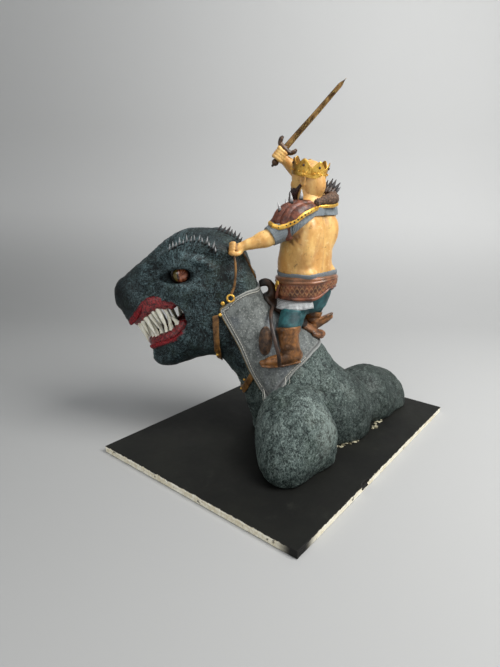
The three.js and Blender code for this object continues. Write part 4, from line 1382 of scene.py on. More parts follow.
def makeBoot(name, shaft, foot, cuff, sole, folded, stands):
    clay = Clay((-60, -50, 100), (60, 76, 182), 0.8)
    clay.add(loft(shaft, 28, 20, (0.1, 1, 0.1), ends=(0.0, 1)))
    clay.add(loft(foot, 24, 18, (0.1, 1, 0.1)), 5)
    clay.add(loft(sole, 20, 16, (0.1, 1, 0.1)), 0.6)
    # the cuff stands open round the leg
    clay.add(loft(cuff, 28, 6, (0.1, 1, 0.1), ends=(0, 0)), 1.5)
    for row in folded:
        clay.cut(loft(row, 10, 14), 2.6)
    clay.soften(1)
    clearOfCloth(clay)
    piece, points = cast(clay, name, bootFinish, [stands])
    relief(piece, points, grain(points, 6, 81) * 0.4 + grain(points, 2.8, 82) * 0.2)


makeTrousers()
makeBoot(
    "leftBoot", [(13, 45, 157, 14), (13, 48, 144, 13.4), (10, 50, 131, 12), (8, 50, 124, 11)],
    [(2, 50, 123, 8, 9), (20, 52, 118, 8.4, 10), (36, 53, 115, 6.6, 8.6), (46, 53, 112.6, 3.8, 5.2)],
    [(13, 45, 151, 15.2), (13.5, 44.5, 155, 16), (14, 44, 158.4, 16.8)],
    [(-2, 50, 114.8, 1.8, 9.6), (14, 51, 111, 1.8, 10), (30, 53, 108.6, 1.8, 9.8), (46, 53, 108.4, 1.6, 6)],
    [[(-1, 60, 136, 0.8), (12, 63, 132, 1.4), (24, 58, 130, 0.8)],
     [(0, 61, 144, 0.7), (12, 63.4, 140, 1.2), (25, 58, 139, 0.7)],
     [(14, 62, 127, 0.8), (26, 62, 123, 1.2), (34, 61, 121, 0.6)],
     [(20, 58, 154, 0.6), (24, 58, 144, 1.4), (18, 62, 132, 0.6)]], "left_boot")
makeBoot(
    "rightBoot", [(-24, -25, 162, 12.6), (-22.5, -25, 148, 11.6), (-20, -25, 137, 10)],
    [(-13, -24, 137, 6, 8), (-28, -26, 143, 7, 8.8), (-42, -28, 150.5, 6, 8), (-51, -29, 155.5, 4, 6)],
    [(-24, -25, 158, 13.4), (-24.5, -25, 161.5, 14), (-25, -25, 165, 14.6)],
    [(-26, -25, 148.6, 1.8, 8.6), (-36, -26, 152.6, 1.9, 9), (-46, -28, 157, 1.8, 8.4),
     (-53, -29, 160, 1.5, 5.4)],
    [[(-14, -14, 152, 0.8), (-20, -13.4, 148, 1.4), (-30, -15, 147, 0.8)],
     [(-14, -13, 158, 0.6), (-22, -12.4, 155, 1.2), (-32, -14, 156, 0.6)]], "right_boot")
print("boots ready")


crown = {
    "at": (5, 0, 342), "radius": 22.5, "tilt": -0.19, "oval": 0.96, "points": 7, "band": 13.4, "high": 8.0}
belt = {"at": (-0.6, -1.2, 204), "oval": 1.12, "tilt": 0.06}
sword = {"plane": -26, "pommel": (35, 359), "guard": (22.5, 377), "tip": (-49.5, 460), "wide": 7.8}

goldFinish = Paint("antiqueGold", Metallic=0.7, Roughness=0.3)
where = goldFinish.place()
tarnish = goldFinish.noise(where, 260, 4, 0.65)
scratch = goldFinish.noise(where, 1200, 2)
leaf = goldFinish.mix(goldFinish.ramp(tarnish, 0.34, 0.56), tone(212, 148, 52), tone(255, 208, 100))
# painted shade, where a piece carries the mark
goldFinish.feed("Base Color", goldFinish.mix(goldFinish.layer("hollow") * 0.8, leaf, tone(92, 44, 20)))
goldFinish.feed("Roughness", 0.24 + tarnish * 0.3)
goldFinish.bump(scratch + tarnish, 0.1, 0.0002)
goldFinish = goldFinish.material


def makeCrown():
    # a band that rises to leaf points, beaded at the foot, with a raised line under each edge
    count, rows = 336, 18
    angle = np.linspace(0, 2 * math.pi, count, endpoint=False)
    wave = np.abs(np.cos(angle * crown["points"] / 2))
    leaf = crown["high"] * np.abs(wave) ** 2.1 * (0.9 + 0.1 * np.cos(angle * 3))
    tall = crown["band"] + leaf - 1.5 * np.exp(-((wave - 0.16) / 0.12) ** 2)
    outer, inner = [], []
    for k in range(rows + 1):
        share = k / rows
        up = tall * share
        emboss = 0.5 * np.exp(-(((tall - up) - 2.0) / 0.6) ** 2) + 0.6 * np.exp(-((up - 2.6) / 0.7) ** 2)
        emboss += 0.55 * np.exp(-((up - 0.6) / 0.7) ** 2) * (0.6 + 0.4 * np.cos(angle * 60))
        emboss += 0.5 * np.exp(-((up - 6.5) / 1.6) ** 2) * np.exp(-((wave - 0.45) / 0.18) ** 2)
        radius = crown["radius"] + 1.6 * (up / 20) - 0.6
        thin = 1 - 0.45 * step(0.75, 1, share)
        for ring, reach in ((outer, radius + emboss), (inner, radius - 1.5 * thin)):
            ring.append(np.column_stack([reach * np.cos(angle), reach * np.sin(angle), up]))
    points = np.vstack(outer + inner[::-1])
    faces = ringFaces(2 * rows + 2, count, closed=True)
    # painted shade: brown on two of the leaves and over the inner face
    facing = np.degrees(angle)
    toneShift = 0.85 * np.exp(-((facing - 62) / 22) ** 2) + 0.7 * np.exp(-((facing - 203) / 12) ** 2)
    hollow = np.concatenate([toneShift] * (rows + 1) + [np.full(count, 0.75)] * (rows + 1))
    forms = []
    for k in range(crown["points"]):
        a = 2 * math.pi * k / crown["points"]
        r = crown["radius"] + 0.9
        forms.append(ball((r * math.cos(a), r * math.sin(a), 13), (1.2, 1.5, 1.7), a, 10))
        for da, up in ((0.22, 5.2), (-0.22, 5.2), (0, 6.2)):
            forms.append(ball((r * math.cos(a + da), r * math.sin(a + da), up), (1.0, 1.0, 1.0), a, 8))
    points[:, 2] -= 0.2
    turned = np.array(Matrix.Rotation(rider["turn"], 3, "Z") @ Matrix.Rotation(crown["tilt"], 3, "Y"))

    def placed(some):
        return (some * (1, crown["oval"], 1)) @ turned.T + np.array(fromRider(*crown["at"]))

    piece = makePiece("crown_band", (placed(points), faces), goldFinish, ["crown"])
    mark(piece, "hollow", hollow)
    jewel = Paint("darkJewel", Roughness=0.12, Coat_Weight=0.6)
    inside = jewel.noise(jewel.place(), 700, 2)
    jewel.feed("Base Color", jewel.mix(inside, tone(16, 10, 8), tone(64, 26, 16)))
    jewel.bump(inside, 0.1, 0.0002)
    jewels = together(*[f for i, f in enumerate(forms) if i % 4 == 0])
    makePiece("crown_jewels", (placed(jewels[0]), jewels[1]), jewel.material)
    studs = together(*[f for i, f in enumerate(forms) if i % 4])
    makePiece("crown_beads", (placed(studs[0]), studs[1]), goldFinish)


makeCrown()


def makeSword():
    guardPoint = np.array([sword["guard"][0], sword["plane"], sword["guard"][1]])
    tip = np.array([sword["tip"][0], sword["plane"], sword["tip"][1]])
    pommel = np.array([sword["pommel"][0], sword["plane"], sword["pommel"][1]])
    long = np.linalg.norm(tip - guardPoint)
    way = unit(tip - guardPoint)
    side, face = np.array([way[2], 0, -way[0]]), np.array([0, 1.0, 0])
    # a flat diamond section with a shallow groove on each face near the guard
    section = [
        (1, 0), (0.62, 0.55), (0.22, 0.86), (0, 0.72), (-0.22, 0.86), (-0.62, 0.55),
        (-1, 0), (-0.62, -0.55), (-0.22, -0.86), (0, -0.72), (0.22, -0.86), (0.62, -0.55)]
    points, count = [], 60
    for k in range(count + 1):
        share = k / count
        wide = sword["wide"] / 2 * (1 - 0.32 * share) * (1 - step(0.88, 1.0, share) ** 1.6)
        thick = 1.75 * (1 - 0.4 * share) * (1 - 0.85 * step(0.9, 1, share))
        bow = 0.5 * math.sin(share * 9)
        for a, b in section:
            fuller = 1.0 if abs(a) > 0.3 else 1 - 0.28 * step(0.7, 0.5, share)
            middle = guardPoint + way * (share * (long + 0.5) - 2)
            points.append(middle + side * (a * max(wide, 0.3) + bow * 0.3) + face * b * thick * fuller)
    n = len(section)
    faces = ringFaces(count + 1, n) + [tuple(range(n - 1, -1, -1)), tuple(range(count * n, count * n + n))]
    paint = Paint("bronzeBlade", Metallic=0.75, Roughness=0.32)
    where = paint.place()
    rub = paint.noise(where, 90, 3, 0.6)
    hair = paint.noise(paint.stretch(where, 1, 1, 0.3), 1100, 2)
    shade = paint.mix(paint.ramp(rub, 0.4, 0.62), tone(88, 62, 40), tone(164, 124, 80))
    paint.feed("Base Color", paint.mix(paint.ramp(hair, 0.52, 0.64) * 0.65, shade, tone(232, 198, 116)))
    paint.feed("Roughness", 0.24 + rub * 0.25)
    paint.bump(hair, 0.3, 0.0003)
    makePiece("swordBlade", (np.array(points), faces), paint.material, ["sword"])
    rows = [(*(guardPoint + side * a + way * b), r, r * 1.1) for a, b, r in (
        (11.8, 6.2, 2.2), (11.6, 3.8, 2.9), (9.0, -0.6, 3.0), (4.5, -2.0, 3.8), (0, -2.4, 4.3),
        (-4.5, -2.0, 3.8), (-9.0, -0.6, 3.0), (-11.6, 3.8, 2.9), (-11.8, 6.2, 2.2))]
    grip = [(*(pommel + (guardPoint - pommel) * k / 16), 2.7 + 0.25 * (k % 2)) for k in range(17)]
    knob = ball(pommel, (4.6, 4.6, 4.6), 0, 14), tube([pommel - way * 4.4, pommel - way * 5.4], 1.6, 10, 3)
    hilt = together(loft(rows, 14, 40, face), loft(grip, 16, 64, face), *knob)
    hiltFinish = cloudyPaint("brownHilt", tone(38, 24, 14), tone(96, 64, 34), 150, 0.38, 0.2, 0.0005, 900)
    makePiece("swordHilt", hilt, hiltFinish)


makeSword()
print("crown and sword ready")

guardFinish = cloudyPaint(
    "ridgedRedLeather", tone(66, 30, 20), tone(134, 76, 54), 110, 0.42, 0.15, 0.0006, 800)
shoulder = {
    "form": [
        (-16, 6, 302, 8, 8), (-2, 16, 300, 14, 19), (13, 24, 292, 18, 23), (27, 30, 284, 15, 17),
        (37, 33, 280, 8, 9)],
    # x and z of the lower edge
    "edge": [
        (-24, 303), (-13, 301), (0, 295), (12, 286), (22, 281), (31, 278.5), (37, 280), (42, 283), (52, 286)],
    "spikes": [(28, 34, 296), (15.5, 29, 304), (4.5, 22, 310), (20, 10, 300)],
}


def guardEdge(x):
    rows = np.array(shoulder["edge"], float)
    return np.interp(x, rows[:, 0], rows[:, 1])


def makeShoulderGuard():
    clay = Clay((-34, -20, 262), (62, 66, 326), 0.8)
    clay.add(loft(shoulder["form"], 32, 32, (-0.35, 0.9, 0), ends=(0.7, 0.7)))
    whole = clay.field.copy()
    places = clay.places()
    clay.keepIn(np.maximum(guardEdge(places[:, 0]) - places[:, 2], 0.35 - riderClay.at(places)))
    clay.soften(1)
    piece, points = cast(clay, "shoulderGuard", guardFinish, ["shoulder_guard"])
    along = unit((53, 27, -22))
    across = unit(np.cross(along, (0, 0, 1)))
    v = (points - (12, 22, 281)) @ across + 0.12 * ((points - (12, 22, 281)) @ along)
    out = normalsOf(piece)
    top = step(0.1, 0.5, out[:, 2] + 0.6 * out[:, 1])
    ridge = np.abs(np.sin(v * math.pi / 8.4)) ** 0.7 * 1.9 * top
    relief(piece, points, ridge + grain(points, 5, 91) * 0.35 + grain(points, 2.2, 92) * 0.2)
    cut = Clay((-34, -20, 262), (62, 66, 326), 0.8)
    cut.field, clay.field = clay.field, whole
    return clay, cut


guardClay, guardShown = makeShoulderGuard()


def edgeOf(clay, lift, count, low, high):
    # the outer line of the guard just above its lower edge
    row = []
    for x in np.linspace(low, high, count):
        tries = np.arange(70, 4, -0.3)
        track = np.column_stack([np.full(len(tries), x), tries, np.full(len(tries), guardEdge(x) + lift)])
        inside = np.nonzero(clay.at(track) < 0)[0]
        if len(inside):
            row.append(track[inside[0]])
    return row


def flatBand(row, thick, wide, across, steps=120):
    return loft([(*at, thick, wide) for at in row], 12, steps, across)


trimRow = edgeOf(guardClay, 2.4, 26, -21, 42)
trimMiddle = [at + (0, 0.9 + 3 * step(20, 31, at[0]), 0) for at in trimRow]
makePiece("guardTrim", flatBand(trimMiddle, 1.8, 3.0, (0, 0, 1)), goldFinish)
holeForms = []
middleOfGuard = np.mean(trimRow, axis=0)
for at in evenly(trimRow[1:-1], 17):
    out = unit((at - middleOfGuard) * (0.6, 1, 0.2))
    holeForms.append(ball(at + (0, 0.9 + 3 * step(20, 31, at[0]), 0) + out * 1.5, (1.4, 0.9, 1.1), 0.5, 8))
makePiece("guardTrimHoles", together(*holeForms), darkThread)
roots = [np.array(at, float) for at in shoulder["spikes"]]
roots = [root + (0, 0, -3) for root in roots]
ways = [(0.3, 0.25, 1), (0.12, 0.15, 1), (-0.02, 0.05, 1), (0.1, -0.2, 1)]
for i, root in enumerate(roots):
    tries = np.arange(-12, 12, 0.3)
    level = guardClay.at(root + np.outer(tries, unit(ways[i])))
    inside = np.nonzero(level < 0)[0]
    if len(inside):
        roots[i] = root + unit(ways[i]) * tries[inside[-1]]
makeSpikes("guardSpikes", roots, ways, [12, 13, 13, 10], 3.1, spikeFinish)


def furPaint():
    paint = Paint("brownFur", Roughness=0.6)
    where = paint.place()
    hair = paint.noise(paint.stretch(where, 1, 1, 0.5), 800, 3, 0.65)
    clump = paint.noise(where, 200, 3)
    shade = paint.mix(paint.ramp(hair, 0.38, 0.66), tone(46, 32, 26), tone(134, 104, 82))
    paint.feed("Base Color", paint.mix(paint.ramp(clump, 0.5, 0.7) * 0.5, shade, tone(82, 58, 46)))
    paint.feed("Roughness", 0.5 + hair * 0.3)
    paint.bump(hair, 0.9, 0.001)
    return paint.material


collar = [(-20, 14, 311, 4), (-22, -6, 315, 6), (-14, -28, 316, 9), (6, -34, 310, 8), (18, -18, 304, 5)]


def makeCollar():
    clay = Clay((-46, -62, 290), (66, 40, 336), 0.75)
    clay.add(loft(onRider(collar), 24, 40, (0, 0, 1)))
    clay.keepIn(0.35 - riderClay.at(clay.places()))
    piece, points = cast(clay, "furCollar", furPaint(), ["fur_collar"])
    relief(piece, points, (folds(points * (1, 1, 0.6), 2.6, 95) - 0.5) * 1.0 + grain(points, 7, 96) * 0.5)
    return clay


collarClay = makeCollar()
# a fan of thick dark spikes on the hump of the roll
roots = np.array([(-25.5, -7, 324), (-30.5, -8, 326), (-35, -9, 326), (-38.5, -10, 324.5), (-40, -11, 322)])
ways = [(-4.5, 0.5, 10.5), (-5.5, 0, 10.5), (-5.2, -0.5, 9), (-6.7, -0.5, 7.8), (-5.5, -0.8, 5)]
longs = [15.5, 16, 15, 14.5, 12]
makeSpikes("collarSpikes", roots, ways, longs, 3.6, blackHorn)
shorter = [0.5 * long for long in longs]
makeSpikes("collarTufts", [at + (1.5, 3, -1) for at in roots], ways, shorter, 4.4, darkLeather)
bandRow = onRider([(-18, 16, 305), (-25, 0, 306.5), (-26, -14, 307), (-22, -30, 309), (-10, -42, 309)])
makePiece("collarGoldBand", flatBand(bandRow, 1.0, 2.0, (0, 0, 1), 60), goldFinish)


def mailPaint(name, dark, light, pitch):
    # fine woven links, from crossed waves over the cloth
    paint = Paint(name, Roughness=0.5, Metallic=0.15)
    weave = paint.layer("weave", "Vector")
    parts = paint.tree.nodes.new("ShaderNodeSeparateXYZ")
    paint.tree.links.new(weave.socket, parts.inputs[0])
    across, along = Wire(paint, parts.outputs[0]), Wire(paint, parts.outputs[1])

    def wave(value):
        return paint.node("ShaderNodeMath", {"operation": "SINE"}, {0: value * (2 * math.pi / pitch)})

    link = wave(across + along) * wave(across - along) * 0.5 + 0.5
    soil = paint.noise(paint.place(), 130, 3)
    shade = paint.mix(paint.ramp(link, 0.2, 0.75), dark, light)
    paint.feed("Base Color", paint.mix(paint.ramp(soil, 0.5, 0.7) * 0.4, shade, scaled(light, 0.6)))
    paint.feed("Roughness", 0.42 + soil * 0.2)
    paint.bump(link, 0.8, 0.0007)
    return paint.material


blueMail = mailPaint("blueGreyMail", tone(64, 74, 82), tone(164, 174, 180), 2.6)
paleMail = mailPaint("paleMail", tone(78, 82, 86), tone(240, 243, 244), 3.3)


def shellOn(clay, low, high, cell, thick, keep, clear=()):
    # a thin cover on a clay form, wherever keep is positive
    cover = Clay(low, high, cell)
    flat = cover.places()
    body = clay.at(flat)
    level = np.maximum(np.maximum(body - thick, 0.35 - body), -keep(*flat.T))
    for other in clear:
        level = np.maximum(level, 0.35 - other.at(flat))
    cover.field = level.reshape(cover.field.shape).astype(np.float32)
    return cover


def turnCoordinates(points, radius=38):
    # distance round the rider and height, for weaves and tooling
    centre = np.array(fromRider(0, 0, 0))
    flat = points - centre
    return np.column_stack([np.arctan2(flat[:, 1], flat[:, 0]) * radius, points[:, 2], np.zeros(len(points))])


def yokeKeep(x, y, z):
    # across the chest it hangs from the collar; behind, it follows the guard's trim
    front = (x + 10) * math.cos(rider["turn"]) + y * math.sin(rider["turn"]) > 4
    hem = np.interp(x, [-50, -14, -6, 2, 10, 16], [295.6, 295, 289, 282.5, 275, 270])
    low = np.where(front, 293 - 0.4 * np.clip(x + 22, 0, None), hem)
    collar = np.interp(x, [-60, -28, -16, 0], [308, 308, 304, 294])
    high = np.where(front, low + 13, np.maximum(collar, guardEdge(x) + 3))
    return np.minimum(np.minimum(z - low, high - z), np.where(front, 34, 14) - x)


yokeClay = shellOn(riderClay, (-62, -50, 258), (46, 52, 316), 0.8, 1.9, yokeKeep, (guardShown, collarClay))
yoke, points = cast(yokeClay, "mailYoke", blueMail, ["mail_yoke"])
mark(yoke, "weave", turnCoordinates(points))
upperArm = [(20, 28.5, 284, 15), (27, 32.4, 278.4, 14.6), (35, 35, 273, 13.4), (41, 37.2, 269.5, 12.4)]
points, faces = loft(upperArm, 56, 24, (0.1, 1, 0.1), ends=(0, 0))
sleeve = makePiece("mailSleeve", (points, faces), blueMail, ["mail_sleeve"])
along = unit((21, 8.5, -13.5))
turns = (np.arange(len(points)) % 56) * 1.7
mark(sleeve, "weave", np.column_stack([turns, points @ along, np.zeros(len(points))]))
relief(sleeve, points, grain(points, 6, 97) * 0.5)


def waistKeep(x, _, z):
    return np.minimum(224.6 - z - 0.045 * x + 0.5 * np.sin(x * 0.25), z - 214)


waistClay = shellOn(riderClay, (-62, -56, 212), (46, 52, 232), 1.0, 1.5, waistKeep)
waist, points = cast(waistClay, "mailWaist", blueMail)
mark(waist, "weave", turnCoordinates(points))


def makeBelt():
    section = [(30, -14.5), (34.5, -15), (36.6, -14.4), (37.6, -12.7), (36.8, -11), (36.4, -10.4)]
    section += [(36.6 + 1.8 * (k / 14), -10.0 + 15.4 * k / 14) for k in range(15)]
    section += [
        (38.0, 6.2), (39.4, 7.2), (39.7, 8.4), (39.0, 9.6), (38.2, 10.2),
        (38.8, 11.2), (39.0, 12.6), (38.2, 14), (36.6, 15), (31, 14.6)]
    count = 300
    points, faces = revolve(section, fromRider(*belt["at"]), rider["turn"], belt["oval"], belt["tilt"], count)
    ring = np.repeat(np.arange(count), len(section)) / count * 2 * math.pi
    height = np.tile([z for _, z in section], count)
    outer = np.tile([1.0 if 6 <= i <= 20 else 0.0 for i in range(len(section))], count)
    centre = np.array(fromRider(*belt["at"]))
    # tooled loops: a chain of ovals between two dotted lines
    chain = np.cos(ring * 21 + 0.5 * np.sin(ring * 5)) * 4.0
    loops = np.exp(-((np.abs(height + 2.2) - np.abs(chain)) / 0.9) ** 2) * 1.0
    dots = np.exp(-((np.abs(height + 2.2) - 6.0) / 0.6) ** 2) * (np.cos(ring * 64) > 0) * 0.8
    # the belt narrows from below across the small of the back
    behind = step(142, 186, np.degrees(ring)) * step(262, 214, np.degrees(ring))
    low = np.clip((15 - height) / 30, 0, 1)
    points[:, 2] += 13.5 * behind * low
    radial = (points - centre) * (1, 1, 0)
    radial /= np.linalg.norm(radial, axis=1)[:, None]
    wander = grain(points, 12, 98) * 0.7 + grain(points, 4, 99) * 0.25
    free = np.ones(len(section))
    free[[0, -1]] = 0  # the edges against the body stay
    points = points + radial * ((loops + dots) * outer + wander * np.tile(free, count))[:, None]
    finish = cloudyPaint(
        "tooledBeltLeather", tone(64, 30, 18), tone(140, 80, 50), 70, 0.34, 0.3, 0.0006, 800,
        tone(196, 148, 100))
    piece = makePiece("tooledBelt", (points, faces), finish, ["belt"])
    mark(piece, "raised", np.clip((loops + dots) * outer + (height > 6.5) * 0.3, 0, 1))


def onBelt(degrees, up, out=0.0):
    a = math.radians(degrees)
    r = 38.4 + out
    ahead, left = r * math.cos(a), r * belt["oval"] * math.sin(a)
    return np.array(fromRider(belt["at"][0] + ahead, left, belt["at"][2] + up - 0.06 * ahead))


makeBelt()
ringRow = []
for a in np.linspace(0, 2 * math.pi, 17):
    ringRow.append(onBelt(66 + 5.5 * math.cos(a), 2.6 + 6 * math.sin(a), 1.0))
prong = [onBelt(61, 2.6, 1.6), onBelt(66, 2.8, 2.4), onBelt(71, 2.6, 1.2)]
buckle = together(tube(ringRow, 1.5, 10, 64), tube(prong, 1.1, 8, 12))
makePiece("beltBuckle", buckle, goldFinish)
hang = [onBelt(76, 5, 1.6), onBelt(72, -1, 2.2), onBelt(69, -7, 2.0), onBelt(67, -13, 1.4)]
makePiece("beltEnd", flatBand(hang, 0.9, 1.9, (1, 0, 0), 24), guardFinish)


def makeSkirt():
    section = [
        (30, -10.4), (36.6, -11), (38.0, -10.4), (37.6, -8.5), (36.6, -5), (35.6, -2), (34.2, 0), (30, 0)]
    angles = np.radians(np.linspace(skirt["from"], skirt["to"], 200))
    turned = np.array(Matrix.Rotation(rider["turn"], 3, "Z") @ Matrix.Rotation(skirt["tilt"], 3, "Y"))
    rings = []
    for a in angles:
        thigh = 2.6 * math.exp(-((a - math.radians(78)) / 0.5) ** 2)
        ring = []
        for r, z in section:
            low = float(step(0, -9, z))
            ripple = 0.6 * math.sin(a * 11) + 0.35 * math.sin(a * 23)
            r = r + thigh * (0.3 + 0.7 * low) + low * ripple * (r > 31)
            lift = 2.5 * low * step(118, 144, math.degrees(a))
            ring.append((r * math.cos(a), r * math.sin(a) * skirt["oval"], z + lift))
        rings.append(ring)
    points = np.array(rings).reshape(-1, 3) @ turned.T + np.array(fromRider(*skirt["at"]))
    n, total = len(section), len(angles)
    faces = ringFaces(total, n, flip=True)
    faces += [tuple(range(n)), tuple(range(total * n - 1, total * n - n - 1, -1))]
    piece = makePiece("mailSkirt", (points, faces), paleMail, ["mail_skirt"])
    heights = np.tile([z for _, z in section], total)
    weave = np.column_stack([np.repeat(angles, n) * 40, heights, np.zeros(len(points))])
    mark(piece, "weave", weave)


makeSkirt()
strapRow = [(21, 45, 284), (21, 44, 277), (19.5, 42, 271), (17, 39.5, 267)]
makePiece("underarmStrap", flatBand(strapRow, 1.2, 4.4, (1, 0.2, 0.25), 24), guardFinish)
print("gear ready")


saddle = {
    "seat": [(42, 0, 186, 7, 16), (22, 0, 171, 7, 20), (0, 0, 159, 7, 21), (-10, 0, 153, 6, 18)],
    "horn": [
        (35, 0, 172, 8, 9), (35, 2, 188, 6, 7), (34.5, 4, 199, 5.4, 6), (38.5, 4, 206.5, 5, 5.6),
        (45, 4, 207.5, 5, 5.8), (50, 4, 205.5, 4.4, 5)],
    "cantleRoll": [
        (-24, -13, 140, 3), (-33, -9, 137.5, 4), (-36, -1, 137.5, 5.2), (-33, 8, 137.5, 4),
        (-24, 13, 140, 3)],
    "pouch": ((42.5, 54, 142), (7.6, 5, 18.6)),
    "leather": [(34, 24, 180), (36, 38, 171), (34.5, 53, 158), (30, 62, 142), (25.5, 66, 126), (24, 64, 112)],
}


def makeSaddle():
    clay = Clay((-46, -32, 126), (60, 32, 220), 1.0)
    clay.add(loft(saddle["seat"], 28, 24))
    clay.add(loft(saddle["horn"], 20, 24), 7)
    clay.soften(1)
    clearOfCloth(clay)
    piece, points = cast(clay, "saddleLeather", darkLeather, ["saddle"])
    relief(piece, points, grain(points, 8, 101) * 0.5 + grain(points, 3, 102) * 0.18)


def makeCantle():
    # the low raised back of the seat, ending in a knob on the ridge
    clay = Clay((-50, -28, 118), (2, 28, 166), 0.9)
    clay.add(loft([(-10, 0, 151, 6, 17), (-22, 0, 144, 5, 13), (-30, 0, 139.5, 4, 8)], 20, 18))
    clay.add(loft(saddle["cantleRoll"], 18, 24, (0, 0, 1)), 3)
    clearOfCloth(clay)
    piece, points = cast(clay, "saddleBack", cantleFinish)
    relief(piece, points, grain(points, 6, 105) * 0.5 + folds(points, 3.5, 106) * 0.35)


def makePouch(name, side, stands):
    centre, radii = saddle["pouch"]
    clay = Clay((24, side * 54 - 16, 116), (64, side * 54 + 16, 168), 0.8)
    clay.add(ball((centre[0], side * centre[1], centre[2]), radii, 0, 24))
    rim = []
    for a in np.linspace(0, 2 * math.pi, 25):
        x, z = centre[0] + (radii[0] - 0.5) * math.cos(a), centre[2] + (radii[2] - 0.5) * math.sin(a)
        rim.append((x, side * (centre[1] + 1.2), z, 1.3))
    clay.add(loft(rim, 8, 72, (0, 1, 0), ends=(0, 0)), 0.8)
    clearOfCloth(clay)
    piece, points = cast(clay, name, pouchFinish, [stands])
    relief(piece, points, grain(points, 5, 103) * 0.4 + folds(points, 2.2, 104) * 0.3)


pouchFinish = cloudyPaint(
    "stampedPouchLeather", tone(40, 26, 16), tone(96, 68, 44), 130, 0.5, 0.1, 0.0008, 620)
cantleFinish = cloudyPaint(
    "brownCantleLeather", tone(70, 42, 22), tone(150, 100, 60), 90, 0.38, 0.2, 0.0006, 620)
makeSaddle()
makeCantle()
makePouch("leftPouch", 1, "left_pouch")
makePouch("rightPouch", -1, "right_pouch")
stirrup = flatBand(saddle["leather"], 1.0, 2.4, (1, 0, 0), 60)
makePiece("stirrupLeather", stirrup, darkLeather, ["stirrup_leather"])

reins = {
    "near": [(83, 56, 247), (81.5, 59, 238), (81, 61, 225), (82.5, 62, 211), (85.5, 62, 203)],
    "far": [
        (74, 34, 250), (71, 30, 244.5), (67, 28.5, 237.5), (63.5, 22, 230), (59.5, 16, 221),
        (57, 14.5, 215.5)],
}
for which in ("near", "far"):
    strap = loft([(*at, 1.3, 1.6) for at in reins[which]], 10, 40, (0, 0, 1))
    makePiece(which + "Rein", strap, strapFinish, [which + "_rein"])


def ringAt(centre, radius, thick, way, count=48):
    way = unit(way)
    a = unit(np.cross(way, (0, 0, 1)))
    b = np.cross(way, a)
    turns = np.linspace(0, 2 * math.pi, 25)
    row = [np.array(centre) + (a * math.cos(t) + b * math.sin(t)) * radius for t in turns]
    return tube(row, thick, 10, count, (0, 0), tuple(way))


ringForm = ringAt((86.5, 62, 197), 4.2, 1.25, (0, 1, 0))
makePiece("bridleRing", ringForm, goldFinish, ["bridle_ring"])

studPlaces = [((96, 190), 2.6), ((99, 176), 2.2), ((104, 116), 1.8), ((68, 83), 1.8), ((72, 60), 1.6)]
studForms = []
for (x, z), size in studPlaces:
    for side in (1, -1):
        at = onCloth([(x, z)], side, 3.0)
        if len(at):
            studForms.append(ball(at[0] + (0, side * 0.4, 0), (size, size * 0.6, size), 0, 10))
makePiece("tackStuds", together(*studForms), goldFinish)
print("tack ready")


board = {"chip": (-64, 150.5)}


def boardPaint():
    paint = Paint("blackBoardPaint", Roughness=0.62, Specular_IOR_Level=0.25)
    where = paint.place()
    top = paint.layer("top")
    cloud = paint.noise(where, 9, 4, 0.6)
    dust = paint.noise(where, 55, 5, 0.7)
    streak = paint.noise(paint.stretch(where, 0.25, 1, 1), 240, 3)
    black = paint.mix(paint.ramp(cloud, 0.35, 0.7), tone(13, 14, 12), tone(24, 25, 21))
    dusty = paint.mix(paint.ramp(dust, 0.55, 0.75) * 0.4, black, tone(44, 45, 40))
    stained = paint.mix(paint.ramp(paint.noise(where, 20, 3), 0.6, 0.68) * 0.5, dusty, tone(16, 15, 14))
    cream = paint.mix(paint.ramp(streak, 0.35, 0.65), tone(232, 224, 198), tone(252, 249, 234))
    ply = paint.layer("ply")
    banded = paint.mix(ply * 0.3, cream, tone(176, 156, 116))
    marks = paint.ramp(paint.noise(where, 120, 3, 0.65), 0.63, 0.69)
    soiled = paint.mix(marks * 0.8, banded, tone(50, 46, 42))
    ragged = paint.ramp(paint.layer("height") + (paint.noise(where, 190, 3) - 0.5) * 0.4, 0.84, 0.92)
    edge = paint.mix(ragged, soiled, tone(26, 25, 24))
    front = paint.mix(paint.layer("corner"), edge, tone(24, 23, 22))
    paint.feed("Base Color", paint.mix(top, front, stained))
    paint.feed("Roughness", 0.56 + dust * 0.25)
    paint.bump(dust + streak * 0.4, 0.3, 0.0006)
    return paint.material


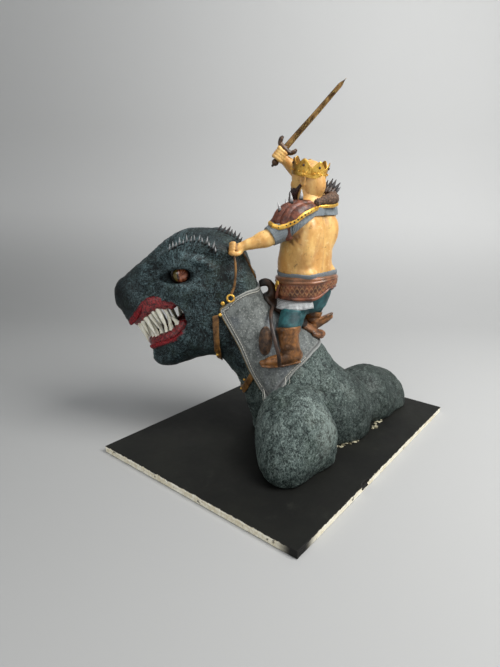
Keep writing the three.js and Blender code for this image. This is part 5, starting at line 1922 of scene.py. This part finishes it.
def makeBoard():
    # a slab with slightly soft, uneven edges, and one broken place
    low, high = np.array(boardLow) * 1000, np.array(boardHigh) * 1000
    xs = np.linspace(low[0], high[0], 141)
    ys = np.linspace(low[1], high[1], 101)
    around = [(x, low[1]) for x in xs[:-1]] + [(high[0], y) for y in ys[:-1]]
    around += [(x, high[1]) for x in xs[::-1][:-1]] + [(low[0], y) for y in ys[::-1][:-1]]
    around = np.array(around)
    levels = [
        (0.0, 0.5), (0.6, 0.0), (2.2, 0), (3.9, 0), (4.4, 0.25), (4.9, 0), (6.6, 0), (8.2, 0), (8.8, 0.3),
        (9.0, 0.9)]
    count = len(around)
    centre = (low + high) / 2
    fromCentre = around - centre[:2]
    away = np.sign(fromCentre) * (np.abs(np.abs(fromCentre) - (high - low)[:2] / 2) < 0.01)
    points = []
    for height, inward in levels:
        flat = around - away * inward
        rough = grain(np.column_stack([flat, np.full(count, height * 3)]), 5, 111) * 0.22 - 0.22
        flat = flat + away * rough[:, None]
        chipped = np.hypot((flat[:, 0] - board["chip"][0]) / 9, (flat[:, 1] + board["chip"][1]) / 7) < 1
        chipped &= height > 3.4
        flat[chipped, 1] += 3.6 * np.sqrt(np.clip(1 - ((flat[chipped, 0] - board["chip"][0]) / 9) ** 2, 0, 1))
        points.append(np.column_stack([flat, np.full(count, height)]))
    rings = len(levels)
    points = np.vstack(points + [[[centre[0], centre[1], 0]], [[centre[0], centre[1], 9.0]]])
    faces = ringFaces(rings, count) + capFaces(count, rings * count, rings * count + 1, (rings - 1) * count)
    mesh = bpy.data.meshes.new("paintedBoard")
    mesh.from_pydata((points / 1000).tolist(), [], faces)
    mesh.materials.append(boardPaint())
    mesh.update()
    piece = bpy.data.objects.new("paintedBoard", mesh)
    bpy.context.scene.collection.objects.link(piece)
    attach(piece, "root")
    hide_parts("base_board")
    height = points[:, 2]
    mark(piece, "top", (height > 8.9).astype(float))
    broken = np.hypot((points[:, 0] - board["chip"][0]) / 9, (points[:, 1] + board["chip"][1]) / 8) < 1.1
    mark(piece, "height", height / 9 + 0.7 * broken * (height > 2))
    mark(piece, "ply", np.exp(-((height - 4.4) / 0.7) ** 2))
    mark(piece, "corner", step(-170, -196, points[:, 0]) * step(-120, -140, points[:, 1]))


makeBoard()


def makeScraps():
    # torn paper and dried glue that show under the body's edge
    paint = Paint("paperAndGlue", Roughness=0.5)
    where = paint.place()
    patch = paint.noise(where, 160, 3)
    shade = paint.mix(paint.ramp(patch, 0.42, 0.58), tone(96, 90, 68), tone(184, 178, 152))
    patch = paint.ramp(paint.noise(where, 90, 2), 0.6, 0.66)
    paint.feed("Base Color", paint.mix(patch * 0.7, shade, tone(128, 140, 44)))
    paint.bump(patch, 0.5, 0.0008)
    forms = []
    for k in range(30):
        if k < 19:
            x, y = np.array((-47, 66)) + np.array((-43, -27)) * (k / 18)
        else:
            x, y = np.array((-118, 4)) + np.array((-16, -26)) * ((k - 19) / 10)
        jog = (2.4 * math.sin(7.1 * k), 2.2 * math.sin(4.3 * k))
        radii = (3.1 + math.sin(k), 1.7 + 0.5 * math.cos(3 * k), 0.7 + 0.25 * math.sin(5 * k))
        forms.append(ball((x + jog[0], y + 3 + jog[1], 0.9), radii, 1.7 * k, 8))
    points, faces = together(*forms)
    piece = makePiece("gluedScraps", (points, faces), paint.material)
    moved = relief(piece, points, grain(points, 1.6, 121) * 0.5)
    moved[:, 2] = np.maximum(moved[:, 2], 0.05)
    setPoints(piece, moved)


makeScraps()
print("board ready")
